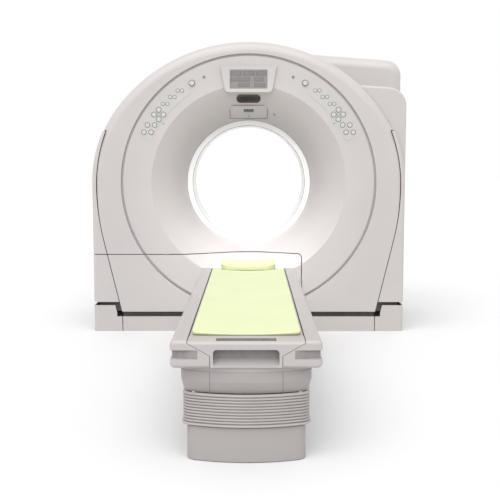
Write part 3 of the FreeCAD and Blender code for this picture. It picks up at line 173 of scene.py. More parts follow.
class ScannerPads(bpy.types.PropertyGroup):
    """Sizes of the padded pieces and how they are stuffed."""

    voxel: length_property("Voxel", "Mesh size before the pad is stuffed", 0.005)
    slack: length_property("Slack", "How much smaller the pad starts than its place", 0.004)
    swell: length_property("Swell", "The most that stuffing may move the cloth", 0.007)
    dish: length_property("Dish", "Depth of the mat's hollow along its middle", 0.017)
    rim: length_property("Rim", "How far the mat's long edges stand over its place", 0.009)
    pressure: FloatProperty(
        name="Pressure", description="Stuffing pressure of the cloth", default=4.0, min=0.0
    )
    frames: IntProperty(name="Frames", description="Steps of the cloth simulation", default=20, min=1)


class ScannerStage(bpy.types.PropertyGroup):
    """Camera, floor and light."""

    eye_height: length_property("Eye height", "Camera above the floor", 1.148)
    eye_distance: length_property("Eye distance", "Camera in front of the scan plane", 6.09)
    pitch: FloatProperty(
        name="Pitch", description="Camera below the horizontal", default=radians(6.2), subtype="ANGLE"
    )
    yaw: FloatProperty(
        name="Yaw", description="Camera turned to the left", default=radians(0.11), subtype="ANGLE"
    )
    eye_side: length_property("Eye side", "Camera beside the bore axis", 0.02)
    lens: FloatProperty(name="Lens", description="Focal length in millimetres", default=63.1, min=1.0)
    floor: length_property("Floor", "Side of the floor", 60.0)
    sky: FloatProperty(name="Sky", description="Strength of the even studio light", default=1.0, min=0.0)
    lamp: FloatProperty(
        name="Overhead lamp", description="Strength of the overhead light", default=2.4, min=0.0
    )
    beam: FloatProperty(
        name="Bore lamp", description="Power of the lamp aimed into the bore", default=2.2, min=0.0
    )


# ---------------------------------------------------------------------------------------------------
# Materials
# ---------------------------------------------------------------------------------------------------


def new_finish(name, colour, roughness, **sockets):
    """A Principled material with plain values on its own sockets, such as coat_weight=0.2."""
    material = bpy.data.materials.new(name)
    material.use_nodes = True
    material.diffuse_color = (*colour, 1.0)
    shader = material.node_tree.nodes["Principled BSDF"]
    shader.inputs["Base Color"].default_value = (*colour, 1.0)
    shader.inputs["Roughness"].default_value = roughness
    for socket, value in sockets.items():
        shader.inputs[socket.replace("_", " ").title().replace("Ior", "IOR")].default_value = value
    return material


def noise_of(material, scale, detail=2.0, stretch=(1.0, 1.0, 1.0)):
    """A noise on the piece's own coordinates, in cycles per metre."""
    tree = material.node_tree
    place = tree.nodes.new("ShaderNodeTexCoord")
    mapping = tree.nodes.new("ShaderNodeMapping")
    mapping.inputs["Scale"].default_value = stretch
    noise = tree.nodes.new("ShaderNodeTexNoise")
    noise.inputs["Scale"].default_value = scale
    noise.inputs["Detail"].default_value = detail
    tree.links.new(place.outputs["Object"], mapping.inputs["Vector"])
    tree.links.new(mapping.outputs["Vector"], noise.inputs["Vector"])
    return noise


def mottle(material, scale, amount, tint=(1.0, 1.0, 1.0)):
    """Lets the base colour drift between a darker tone and a lighter, slightly tinted one."""
    tree = material.node_tree
    shader = tree.nodes["Principled BSDF"]
    colour = shader.inputs["Base Color"].default_value[:3]
    noise = noise_of(material, scale)
    ramp = tree.nodes.new("ShaderNodeValToRGB")
    dark, light = ramp.color_ramp.elements
    dark.position, light.position = 0.3, 0.7
    dark.color = (*(channel * (1 - amount) for channel in colour), 1.0)
    light.color = (*(min(1.0, channel * (1 + amount) * t) for channel, t in zip(colour, tint)), 1.0)
    tree.links.new(noise.outputs["Fac"], ramp.inputs["Fac"])
    tree.links.new(ramp.outputs["Color"], shader.inputs["Base Color"])


def uneven_gloss(material, scale, spread):
    """Varies the roughness about its plain value, as handling does."""
    tree = material.node_tree
    shader = tree.nodes["Principled BSDF"]
    middle = shader.inputs["Roughness"].default_value
    noise = noise_of(material, scale, detail=4.0)
    span = tree.nodes.new("ShaderNodeMapRange")
    span.inputs["To Min"].default_value = middle - spread
    span.inputs["To Max"].default_value = middle + spread
    tree.links.new(noise.outputs["Fac"], span.inputs["Value"])
    tree.links.new(span.outputs["Result"], shader.inputs["Roughness"])


def grain(material, scale, strength, distance, stretch=(1.0, 1.0, 1.0)):
    """Fine unevenness of the surface."""
    tree = material.node_tree
    bump = tree.nodes.new("ShaderNodeBump")
    bump.inputs["Strength"].default_value = strength
    bump.inputs["Distance"].default_value = distance
    noise = noise_of(material, scale, detail=3.0, stretch=stretch)
    tree.links.new(noise.outputs["Fac"], bump.inputs["Height"])
    tree.links.new(bump.outputs["Normal"], tree.nodes["Principled BSDF"].inputs["Normal"])


def leather_grain(material, scale, strength, distance):
    """Cell pattern of embossed vinyl."""
    tree = material.node_tree
    bump = tree.nodes.new("ShaderNodeBump")
    bump.inputs["Strength"].default_value = strength
    bump.inputs["Distance"].default_value = distance
    place = tree.nodes.new("ShaderNodeTexCoord")
    cells = tree.nodes.new("ShaderNodeTexVoronoi")
    cells.feature = "SMOOTH_F1"
    cells.inputs["Scale"].default_value = scale
    tree.links.new(place.outputs["Object"], cells.inputs["Vector"])
    tree.links.new(cells.outputs["Distance"], bump.inputs["Height"])
    tree.links.new(bump.outputs["Normal"], tree.nodes["Principled BSDF"].inputs["Normal"])


def weave(material, threads, strength, distance):
    """Crossed threads of a coated cloth."""
    tree = material.node_tree
    place = tree.nodes.new("ShaderNodeTexCoord")
    total = tree.nodes.new("ShaderNodeMath")
    total.operation = "MULTIPLY"
    for socket, direction in enumerate(("X", "Z")):
        wave = tree.nodes.new("ShaderNodeTexWave")
        wave.bands_direction = direction
        wave.inputs["Scale"].default_value = threads
        tree.links.new(place.outputs["Object"], wave.inputs["Vector"])
        tree.links.new(wave.outputs["Fac"], total.inputs[socket])
    bump = tree.nodes.new("ShaderNodeBump")
    bump.inputs["Strength"].default_value = strength
    bump.inputs["Distance"].default_value = distance
    tree.links.new(total.outputs["Value"], bump.inputs["Height"])
    tree.links.new(bump.outputs["Normal"], tree.nodes["Principled BSDF"].inputs["Normal"])


def moulded_paint(name, colour, roughness=0.38):
    """Satin paint on a moulded cover: orange peel, a faint drift of tone and uneven gloss."""
    material = new_finish(name, colour, roughness, coat_weight=0.12, coat_roughness=0.25)
    mottle(material, scale=3.0, amount=0.018, tint=(1.0, 0.99, 0.985))
    uneven_gloss(material, scale=14.0, spread=0.05)
    grain(material, scale=900.0, strength=0.12, distance=0.0004)
    return material


def powder_coat(name, colour):
    """Powder coat on steel."""
    material = new_finish(name, colour, 0.55)
    mottle(material, scale=9.0, amount=0.06)
    grain(material, scale=1500.0, strength=0.35, distance=0.0005)
    return material


def brushed_steel():
    """Ground steel with fine lines along its length."""
    material = new_finish("ground_steel", (0.52, 0.52, 0.53), 0.32, metallic=1.0)
    mottle(material, scale=24.0, amount=0.08)
    grain(material, scale=700.0, strength=0.25, distance=0.0003, stretch=(1.0, 1.0, 0.02))
    return material


def rubber_and_painted_shade(name, colour):
    """Matt rubber of the seals, and the matt painted shade of the seams, scoops, gaps and the dark sheets
    behind the plinth gaps.
    """
    material = new_finish(name, colour, 0.8)
    mottle(material, scale=30.0, amount=0.1)
    grain(material, scale=1200.0, strength=0.3, distance=0.0004)
    return material


def upholstery(colour):
    """Embossed vinyl of the mat and the cushion."""
    material = new_finish("pad_vinyl", colour, 0.5, sheen_weight=0.15, sheen_roughness=0.4)
    mottle(material, scale=5.0, amount=0.02, tint=(1.0, 1.0, 0.97))
    leather_grain(material, scale=420.0, strength=0.22, distance=0.0006)
    return material


def bellows_cloth(colour):
    """Coated cloth of the bellows."""
    material = new_finish("bellows_cloth", colour, 0.6, sheen_weight=0.1)
    mottle(material, scale=12.0, amount=0.04)
    weave(material, threads=300.0, strength=0.3, distance=0.0004)
    return material


def dark_glass(name, colour, roughness=0.12):
    """Tinted plastic front with a hard gloss."""
    material = new_finish(name, colour, roughness, coat_weight=0.5, coat_roughness=0.08)
    mottle(material, scale=40.0, amount=0.05)
    uneven_gloss(material, scale=60.0, spread=0.03)
    return material


def membrane_film(name, colour):
    """Matt polyester film of the keypads."""
    material = new_finish(name, colour, 0.5)
    mottle(material, scale=22.0, amount=0.02)
    grain(material, scale=2200.0, strength=0.15, distance=0.0002)
    return material


def finishes():
    """Every finish by name, made once."""
    made = getattr(finishes, "made", None)
    if made is None:
        colours = bpy.context.scene.scanner_colours
        made = {
            "cover": moulded_paint("cover_paint", colours.cover),
            "window": moulded_paint("window_film", colours.window, roughness=0.3),
            "plinth": moulded_paint("plinth_paint", colours.plinth, roughness=0.45),
            "table": moulded_paint("table_paint", colours.table, roughness=0.45),
            "rail": moulded_paint("rail_paint", colours.rail, roughness=0.35),
            "seal": rubber_and_painted_shade("seal_rubber", colours.seal),
            # The dark sheets behind the plinth gaps are painted shade.
            "skirt": rubber_and_painted_shade("skirt_rubber", (0.105, 0.092, 0.088)),
            # seam, scoop and gap are darker copies of the cover and rail paint: painted shade for seams,
            # recesses, rail-end scoops and the gaps between table parts.
            "seam": rubber_and_painted_shade("seam_shade", tuple(channel * 0.45 for channel in colours.cover)),
            "scoop": rubber_and_painted_shade("scoop_shade", tuple(channel * 0.62 for channel in colours.rail)),
            "gap": rubber_and_painted_shade("gap_shade", tuple(channel * 0.30 for channel in colours.cover)),
            "bellows": bellows_cloth(colours.bellows),
            "pad": upholstery(colours.pad),
            "screen": dark_glass("screen_front", colours.screen, roughness=0.25),
            "readout": dark_glass("readout_window", colours.readout),
            "digit": dark_glass("unlit_digit", tuple(channel * 1.9 for channel in colours.readout)),
            "lens": dark_glass("lens_glass", colours.lens),
            "membrane": membrane_film("keypad_membrane", colours.membrane),
            "ring": membrane_film("key_ring", colours.key_ring),
            "button": membrane_film("key_cap", colours.button),
            "steel": powder_coat("frame_powder_coat", colours.steel),
            "unit": powder_coat("unit_paint", colours.unit),
            "bare": brushed_steel(),
        }
        finishes.made = made
    return made


# Finish of each of the record's material slots, for the nodes that stay as they are.
SLOT_FINISH = {
    "cover_white": "cover",
    "plinth_grey": "plinth",
    "seal_grey": "seal",
    "window_clear": "window",
    "screen": "screen",
    "keypad": "membrane",
    "button": "button",
    "frame_steel": "steel",
    "bare_steel": "bare",
    "unit_metal": "unit",
    "table_cover": "rail",
    "bellows_cloth": "bellows",
    "cradle_shell": "rail",
    "mat_lime": "pad",
}

# Finish of the nodes that differ from the rest of their slot.
NODE_FINISH = {"table_chassis": "rail", "indicator_window": "lens"}


# ---------------------------------------------------------------------------------------------------
# Modelling helpers
# ---------------------------------------------------------------------------------------------------


def new_piece(name, bm, materials, sharp=35.0):
    """Makes a smooth shaded object from a bmesh and frees the bmesh."""
    bmesh.ops.recalc_face_normals(bm, faces=bm.faces)
    mesh = bpy.data.meshes.new(name)
    bm.to_mesh(mesh)
    bm.free()
    for material in materials:
        mesh.materials.append(finishes()[material])
    mesh.polygons.foreach_set("use_smooth", [True] * len(mesh.polygons))
    mesh.set_sharp_from_angle(angle=radians(sharp))
    piece = bpy.data.objects.new(name, mesh)
    bpy.context.scene.collection.objects.link(piece)
    return piece


def seat(piece, body, slot, *nodes):
    """Ties a finished piece to its body and hides the nodes it stands for; the slot is not used."""
    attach(piece, body)
    if nodes:
        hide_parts(*nodes)


def surface_of(*names):
    """Search tree over the surfaces of CAD nodes."""
    bm = bmesh.new()
    for name in names:
        bm.from_mesh(frame["nodes"][name].data)
    tree = BVHTree.FromBMesh(bm)
    bm.free()
    return tree


def settle(verts, tree, front):
    """Moves points along the bore axis onto a surface; each keeps its height over the plane y = front."""
    for vert in verts:
        height = front - vert.co.y
        hit = tree.ray_cast(Vector((vert.co.x, front - 1.0, vert.co.z)), Vector((0.0, 1.0, 0.0)))[0]
        if hit is None:
            raise RuntimeError(f"no surface behind {tuple(vert.co)}")
        vert.co.y = hit.y - height


def outline_of(bm, node):
    """Adds the outline of a CAD node's foot, seen from above, as a closed ring of edges."""
    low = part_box(node)[0]
    foot = [vert.co for vert in frame["nodes"][node].data.vertices if vert.co.z < low.z + 1e-4]
    verts = [bm.verts.new(foot[number]) for number in convex_hull_2d([point.xy for point in foot])]
    return [bm.edges.new((verts[number - 1], vert)) for number, vert in enumerate(verts)]


def resize_ring(verts, centre, grow):
    """Grows a level ring of points outwards by a length, about its centre."""
    half_x = max(abs(vert.co.x - centre.x) for vert in verts)
    half_y = max(abs(vert.co.y - centre.y) for vert in verts)
    for vert in verts:
        vert.co.x = centre.x + (vert.co.x - centre.x) * (half_x + grow) / half_x
        vert.co.y = centre.y + (vert.co.y - centre.y) * (half_y + grow) / half_y


def grow_wall(bm, edges, centre, rise, grow):
    """Extrudes a ring of edges upwards and outwards, and returns the new ring."""
    made = bmesh.ops.extrude_edge_only(bm, edges=edges)["geom"]
    verts = [item for item in made if isinstance(item, bmesh.types.BMVert)]
    bmesh.ops.translate(bm, vec=(0.0, 0.0, rise), verts=verts)
    resize_ring(verts, centre, grow)
    return [item for item in made if isinstance(item, bmesh.types.BMEdge)]


def softened(node, width, segments=3, angle=30.0, chosen=None):
    """A copy of a CAD node's shape with its sharp edges, or the chosen ones of them, rounded."""
    bm = bmesh.new()
    bm.from_mesh(frame["nodes"][node].data)
    bmesh.ops.remove_doubles(bm, verts=bm.verts, dist=1e-5)
    bmesh.ops.dissolve_limit(bm, angle_limit=radians(1.0), verts=bm.verts, edges=bm.edges)
    sharp = [
        edge for edge in bm.edges if len(edge.link_faces) == 2 and edge.calc_face_angle(0.0) > radians(angle)
    ]
    if chosen is not None:
        sharp = [edge for edge in sharp if chosen(edge)]
    bmesh.ops.bevel(
        bm, geom=sharp, offset=width, segments=segments, profile=0.5, affect="EDGES", material=-1,
        clamp_overlap=chosen is None
    )
    return bm


# ---------------------------------------------------------------------------------------------------
# Operators, one for each piece or group of like pieces
# ---------------------------------------------------------------------------------------------------


class SCANNER_OT_covers(bpy.types.Operator):
    """Gives every CAD node the finish of its material slot"""

    bl_idname = "scanner.covers"
    bl_label = "Paint covers and frames"

    def execute(self, context):
        for part in frame["record"]["subparts"]:
            node = frame["nodes"][part["node"]]
            finish = NODE_FINISH.get(part["node"], SLOT_FINISH[part["material_slot"]])
            for slot in node.material_slots:
                slot.material = finishes()[finish]
        return {"FINISHED"}


class SCANNER_OT_skirts(bpy.types.Operator):
    """Adds dark sheets that close the view through the gaps above the plinths; they are painted shade,
    standing in for the shade in the gaps
    """

    bl_idname = "scanner.skirts"
    bl_label = "Plinth skirts"

    def execute(self, context):
        sizes = context.scene.scanner_controls
        bm = bmesh.new()
        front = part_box("plinth_front")
        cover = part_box("front_cover")
        inset = sizes.skirt_inset
        low = Vector((front[0].x, front[0].y + inset, front[1].z - inset))
        self.block(bm, low, Vector((front[1].x, low.y + sizes.skirt, cover[0].z + inset)))
        for side, sign in SIDES.items():
            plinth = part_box(f"plinth_{side}")
            outer = sign * (abs(plinth[0 if sign < 0 else 1].x) - inset)
            low_z, high_z = plinth[1].z - inset, plinth[1].z + inset * 2
            inner = sign * front[1].x
            near = front[0].y + inset
            ends = sorted((outer, inner))
            self.block(bm, Vector((ends[0], near, cover[0].z)), Vector((ends[1], near + sizes.skirt, high_z)))
            ends = sorted((outer, outer - sign * sizes.skirt))
            self.block(bm, Vector((ends[0], near, low_z)), Vector((ends[1], plinth[1].y - inset, high_z)))
        seat(new_piece("plinth_skirts", bm, ["skirt"]), "base", "seal_grey")
        return {"FINISHED"}

    @staticmethod
    def block(bm, low, high):
        """A thin dark sheet between two corners, painted shade for a plinth gap."""
        verts = bmesh.ops.create_cube(bm, size=1.0)["verts"]
        bmesh.ops.scale(bm, vec=high - low, verts=verts)
        bmesh.ops.translate(bm, vec=(low + high) / 2, verts=verts)


class SCANNER_OT_display(bpy.types.Operator):
    """Adds the readout windows and their unlit digits to the display"""

    bl_idname = "scanner.display"
    bl_label = "Display readouts"

    def execute(self, context):
        low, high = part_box("display_screen")
        centre = (low + high) / 2
        half = (high - low) / 2
        rise = context.scene.scanner_controls.readout_rise
        windows, digits = bmesh.new(), bmesh.new()
        for left, right, bottom, top in READOUTS:
            x = centre.x + half.x * (left + right) / 2
            middle = Vector((x, low.y, centre.z + half.z * (bottom + top) / 2))
            width = half.x * (right - left)
            height = half.z * (top - bottom)
            self.block(windows, middle, width, height, rise)
            self.digits(digits, middle, width, height, rise)
        frames = new_piece("display_readouts", windows, ["readout"])
        seat(frames, "base", "screen")
        numerals = new_piece("display_digits", digits, ["digit"])
        seat(numerals, "base", "screen")
        return {"FINISHED"}

    @staticmethod
    def block(bm, middle, width, height, rise):
        """A thin raised block that faces the front, with an inset step on its front."""
        made = bmesh.ops.create_grid(
            bm, x_segments=1, y_segments=1, size=0.5, matrix=Matrix.Translation(middle) @ FACING_FRONT
        )["verts"]
        bmesh.ops.scale(bm, vec=(width, 1.0, height), space=Matrix.Translation(-middle), verts=made)
        face = made[0].link_faces[0]
        solid = bmesh.ops.extrude_discrete_faces(bm, faces=[face])["faces"][0]
        bmesh.ops.translate(bm, vec=(0.0, -rise, 0.0), verts=solid.verts)
        bmesh.ops.inset_individual(bm, faces=[solid], thickness=height * 0.06, depth=rise * 0.4)

    def digits(self, bm, middle, width, height, rise):
        """A row of seven bar digits with nothing lit."""
        tall, bar = height * 0.62, height * 0.07
        wide = tall * 0.5
        step = wide * 1.5
        count = max(1, int((width - wide) / step))
        bars = ((0, 1), (0, 0), (0, -1))
        posts = ((-1, 1), (1, 1), (-1, -1), (1, -1))
        for place in range(count):
            x = middle.x + (place - (count - 1) / 2) * step
            front = middle.y - rise * 1.4
            for across, up in bars:
                centre = Vector((x, front, middle.z + up * tall / 2))
                self.block(bm, centre, wide - bar * 1.6, bar, rise * 0.3)
            for across, up in posts:
                centre = Vector((x + across * wide / 2, front, middle.z + up * tall / 4))
                self.block(bm, centre, bar, tall / 2 - bar * 1.6, rise * 0.3)


def annulus(centre, inner, outer, steps):
    """A flat ring about an axis along the bore."""
    bm = bmesh.new()
    start = [bm.verts.new(centre + Vector((radius, 0.0, 0.0))) for radius in (inner, outer)]
    edge = bm.edges.new(start)
    bmesh.ops.spin(
        bm, geom=[*start, edge], cent=centre, axis=(0.0, 1.0, 0.0), angle=2 * pi, steps=steps, use_merge=True
    )
    return bm


class SCANNER_OT_keypads(bpy.types.Operator):
    """Builds the two keypads with domed keys and printed rings, and a collar round each stop button"""

    bl_idname = "scanner.keypads"
    bl_label = "Keypads"

    def execute(self, context):
        sizes = context.scene.scanner_controls
        for side, sign in SIDES.items():
            node = f"keypad_{side}"
            low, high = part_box(node)
            face = low.y + sizes.key_rise
            keys = bmesh.new()
            for places, radius in (
                (ROUND_KEYS, sizes.key_radius),
                (PAIRED_KEYS, sizes.small_key_radius),
                (ARROW_KEYS, sizes.arrow_key_radius),
                ((ENTER_KEY,), sizes.enter_key_radius),
            ):
                for x, height in places:
                    self.key(keys, sign * x, height, face, radius, sizes.key_rise)
            caps = new_piece(f"keys_{side}", keys, ["button", "ring"])
            seat(caps, "base", "keypad")
            film = new_piece(f"keypad_film_{side}", self.film(sign, face, high.y), ["membrane"])
            seat(film, "base", "keypad", node)
            front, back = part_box(f"stop_button_{side}")
            middle = Vector(((front.x + back.x) / 2, high.y - 0.0015, (front.z + back.z) / 2))
            radius = (back.x - front.x) / 2
            inner = radius + sizes.collar_gap
            collar = annulus(middle, inner, inner + sizes.collar_width, 40)
            seat(new_piece(f"stop_collar_{side}", collar, ["ring"]), "base", "keypad")
        return {"FINISHED"}

    @staticmethod
    def key(bm, x, height, face, radius, rise):
        """A domed cap inside a printed ring."""
        place = Matrix.Translation((x, face, BORE_HEIGHT + height)) @ FACING_FRONT
        verts = bmesh.ops.create_circle(bm, cap_ends=True, radius=radius, segments=28, matrix=place)["verts"]
        disc = verts[0].link_faces[0]
        top = bmesh.ops.extrude_discrete_faces(bm, faces=[disc])["faces"][0]
        bmesh.ops.translate(bm, vec=(0.0, -rise * 0.4, 0.0), verts=top.verts)
        ring = bmesh.ops.inset_individual(bm, faces=[top], thickness=radius * 0.30)["faces"]
        for item in ring:
            item.material_index = 1
        bmesh.ops.inset_individual(bm, faces=[top], thickness=radius * 0.12, depth=rise * 0.3)
        bmesh.ops.inset_individual(bm, faces=[top], thickness=radius * 0.25, depth=rise * 0.2)

    @staticmethod
    def film(sign, front, back):
        """The membrane: a sector of a ring about the bore axis."""
        first, last = (radians(end) for end in FILM_ENDS)
        bm = bmesh.new()
        start = Vector((cos(first) * sign, 0.0, sin(first)))
        ends = [bm.verts.new(start * radius + Vector((0.0, front, BORE_HEIGHT))) for radius in FILM_RADII]
        edge = bm.edges.new(ends)
        bmesh.ops.spin(
            bm, geom=[*ends, edge], cent=(0.0, front, BORE_HEIGHT), axis=(0.0, -sign, 0.0),
            angle=last - first, steps=36,
        )
        corners = [vert for vert in bm.verts if len(vert.link_edges) == 2]
        bmesh.ops.bevel(
            bm, geom=corners, offset=0.014, segments=5, profile=0.5, affect="VERTICES", material=-1
        )
        made = bmesh.ops.extrude_face_region(bm, geom=bm.faces[:])["geom"]
        moved = [item for item in made if isinstance(item, bmesh.types.BMVert)]
        bmesh.ops.translate(bm, vec=(0.0, back - front, 0.0), verts=moved)
        return bm


class SCANNER_OT_apertures(bpy.types.Operator):
    """Adds the laser aperture, the sensor dots and two thin seams of painted shade to the front ring"""

    bl_idname = "scanner.apertures"
    bl_label = "Laser aperture and sensor dots"

    def execute(self, context):
        sizes = context.scene.scanner_controls
        ring = surface_of("front_bezel", "laser_panel")
        dots = bmesh.new()
        for x, height, share in SENSOR_DOTS:
            radius = sizes.dot_radius * share
            self.lens(dots, ring, x, BORE_HEIGHT + height, radius, radius)
        # The dots' centres take the darker copy of the cover paint used for the painted seam shade.
        piece = new_piece("sensor_dots", dots, ["ring", "seam"])
        seat(piece, "base", "screen")
        slit = bmesh.new()
        low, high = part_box("laser_panel")
        height = low.z + (high.z - low.z) * 0.6
        self.lens(slit, ring, 0.0, height, sizes.aperture_width, sizes.aperture_height)
        piece = new_piece("laser_aperture", slit, ["ring", "lens"])
        seat(piece, "base", "screen")
        seam = self.panel_seam(ring, low, high, sizes.panel_seam)
        piece = new_piece("laser_panel_seam", seam, ["seam"])
        seat(piece, "base", "seal_grey")
        seat(new_piece("window_seam", self.window_seam(sizes.window_seam), ["seam"]), "base", "seal_grey")
        return {"FINISHED"}

    @staticmethod
    def window_seam(width):
        """The seam round the scan window, a ring of painted shade on the front face of the aperture lip."""
        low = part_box("scan_window_ring")[0]
        data = frame["nodes"]["scan_window_ring"].data
        axis = Vector((0.0, low.y, BORE_HEIGHT))
        inner = min((vert.co - axis).length for vert in data.vertices if vert.co.y < low.y + 1e-4)
        return annulus(axis + Vector((0.0, -0.0003, 0.0)), inner + 0.15 * width, inner + width, 128)

    @staticmethod
    def panel_seam(surface, low, high, width):
        """The thin seam round the laser panel, a strip of painted shade laid on the ring's surface."""
        bm = bmesh.new()
        centre = Vector(((low.x + high.x) / 2, 0.0, (low.z + high.z) / 2))
        bmesh.ops.create_grid(
            bm, x_segments=1, y_segments=1, size=0.5, matrix=Matrix.Translation(centre) @ FACING_FRONT
        )
        size = (high.x - low.x, 1.0, high.z - low.z)
        bmesh.ops.scale(bm, vec=size, space=Matrix.Translation(-centre), verts=bm.verts)
        upper = [vert for vert in bm.verts if vert.co.z > centre.z]
        bmesh.ops.bevel(bm, geom=upper, offset=0.026, segments=6, profile=0.5, affect="VERTICES", material=-1)
        bmesh.ops.inset_region(
            bm, faces=bm.faces[:], thickness=width, use_even_offset=True, use_boundary=True
        )
        inner = [face for face in bm.faces if len(face.verts) > 4]
        bmesh.ops.delete(bm, geom=inner, context="FACES")
        long_edges = [edge for edge in bm.edges if edge.calc_length() > 0.04]
        bmesh.ops.subdivide_edges(bm, edges=long_edges, cuts=11, use_grid_fill=True)
        made = bmesh.ops.extrude_face_region(bm, geom=bm.faces[:])["geom"]
        raised = [item for item in made if isinstance(item, bmesh.types.BMVert)]
        bmesh.ops.translate(bm, vec=(0.0, -0.0004, 0.0), verts=raised)
        settle(bm.verts, surface, 0.0)
        return bm

    @staticmethod
    def lens(bm, surface, x, height, half_width, half_height):
        """A shallow lens with a rim, laid on the ring's surface."""
        place = Matrix.Translation((x, 0.0, height)) @ FACING_FRONT
        made = bmesh.ops.create_circle(bm, cap_ends=True, radius=half_height, segments=24, matrix=place)
        verts = made["verts"]
        for vert in verts:
            offset = vert.co.x - x
            if abs(offset) > 1e-5:
                vert.co.x += (half_width - half_height) * (1 if offset > 0 else -1)
        face = verts[0].link_faces[0]
        top = bmesh.ops.extrude_discrete_faces(bm, faces=[face])["faces"][0]
        bmesh.ops.translate(bm, vec=(0.0, -0.0012, 0.0), verts=top.verts)
        bmesh.ops.inset_individual(bm, faces=[top], thickness=half_height * 0.3)
        top.material_index = 1
        step = bmesh.ops.inset_individual(bm, faces=[top], thickness=half_height * 0.15, depth=-0.0004)
        for item in step["faces"]:
            item.material_index = 1
        bmesh.ops.triangulate(bm, faces=[top])
        new = {vert for item in bm.faces for vert in item.verts if not vert.tag}
        settle(new, surface, 0.0)
        for vert in new:
            vert.tag = True


class SCANNER_OT_rails(bpy.types.Operator):
    """Rounds the edges of the rails, the foot block, the cradle and the headrest holder, and paints shade
    into their gaps, recesses and scoops
    """

    bl_idname = "scanner.rails"
    bl_label = "Rails and cradle"

    def execute(self, context):
        for node, body, width in (
            ("rail_left", "table_top", 0.005),
            ("rail_right", "table_top", 0.005),
            ("handle_block", "cradle", 0.0045),
            ("cradle", "cradle", 0.002),
            ("headrest_holder", "cradle", 0.003),
        ):
            shape = softened(node, width)
            partners = ("rail_left", "rail_right") if body == "cradle" else ("cradle", "handle_block")
            self.shade_gap(shape, surface_of(*partners), width * 1.3)
            if body == "table_top":
                self.shade_scoop(shape)
            if node == "handle_block":
                self.shade_openings(shape)
            # The second and third finishes are painted shade on the faces that line gaps, recesses and
            # scoops.
            piece = new_piece(f"soft_{node}", shape, ["rail", "gap", "scoop"])
            weighted = piece.modifiers.new("even_normals", "WEIGHTED_NORMAL")
            weighted.keep_sharp = True
            slot = "table_cover" if node.startswith("rail") else "cradle_shell"
            seat(piece, body, slot, node)
        return {"FINISHED"}

    @staticmethod
    def shade_gap(bm, partners, reach):
        """Paints shade on the faces that line the gap to the neighbouring pieces."""
        for face in bm.faces:
            hit = partners.find_nearest(face.calc_center_median(), reach)[0]
            face.material_index = 0 if hit is None else 1

    @staticmethod
    def shade_openings(bm):
        """Paints shade on the faces that line the finger recess and the grip slot."""
        skin, face_depth = 0.004, 0.012
        low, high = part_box("handle_block")
        for opening in frame["record"]["physics"]["openings"]:
            start, end = opening["box_m"]
            for face in bm.faces:
                middle = face.calc_center_median()
                lining = all(start[i] - skin < middle[i] < end[i] + skin for i in range(3))
                if lining and middle.y > low.y + face_depth and middle.z < high.z - skin:
                    face.material_index = 2

    @staticmethod
    def shade_scoop(bm):
        """Paints shade on the slanted scoop in the end of a rail."""
        skin, depth = 0.003, 0.04
        end = min(vert.co.y for vert in bm.verts)
        for face in bm.faces:
            inside = end + skin < face.calc_center_median().y < end + depth
            slanted = 0.05 < abs(face.normal.x) < 0.6 and abs(face.normal.z) < 0.1
            if inside and slanted and face.normal.y < -0.7:
                face.material_index = 2


class SCANNER_OT_pedestal(bpy.types.Operator):
    """Softens the base cover and the collar of the pedestal, and adds the collar's seams as strips of painted
    shade
    """

    bl_idname = "scanner.pedestal"
    bl_label = "Base cover and collar"

    def execute(self, context):
        sizes = context.scene.scanner_bellows
        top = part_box("table_base_cover")[1].z
        cover = softened(
            "table_base_cover", sizes.edge, segments=4,
            chosen=lambda edge: edge.is_convex and min(vert.co.z for vert in edge.verts) > top - 1e-4,
        )
        seat(new_piece("pedestal_base_cover", cover, ["table"]), "base", "table_cover", "table_base_cover")
        collar = softened("table_collar", sizes.edge, segments=4, angle=15.0, chosen=self.knee)
        seat(new_piece("pedestal_collar", collar, ["table"]), "table_top", "table_cover", "table_collar")
        seat(new_piece("collar_seams", self.seams(sizes), ["seam"]), "table_top", "seal_grey")
        return {"FINISHED"}

    @staticmethod
    def knee(edge):
        """Whether an edge is the outer fold where the collar's slanted foot meets its upright band."""
        low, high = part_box("table_collar")
        heights = [vert.co.z for vert in edge.verts]
        level = abs(heights[0] - heights[1]) < 1e-4 and low.z + 0.01 < heights[0] < high.z - 0.01
        return level and edge.is_convex

    @staticmethod
    def seams(sizes):
        """Two upright seams in the collar's foot end, as strips of painted shade."""
        low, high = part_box("table_collar")
        surface = surface_of("table_collar")
        bm = bmesh.new()
        steps = 14
        for sign in SIDES.values():
            rungs = []
            for step in range(steps + 1):
                z = low.z + 0.002 + (high.z - low.z - 0.004) * step / steps
                middle = sign * sizes.seam_place
                rungs.append([bm.verts.new((middle + side * sizes.seam / 2, 0.0, z)) for side in (-1, 1)])
            for below, above in zip(rungs, rungs[1:]):
                bm.faces.new((*below, *reversed(above)))
        made = bmesh.ops.extrude_face_region(bm, geom=bm.faces[:])["geom"]
        raised = [item for item in made if isinstance(item, bmesh.types.BMVert)]
        bmesh.ops.translate(bm, vec=(0.0, -0.0004, 0.0), verts=raised)
        for vert in bm.verts:
            height = -vert.co.y
            hit = surface.ray_cast(Vector((vert.co.x, low.y - 1.0, vert.co.z)), Vector((0.0, 1.0, 0.0)))[0]
            vert.co.y = hit.y - height
        return bm


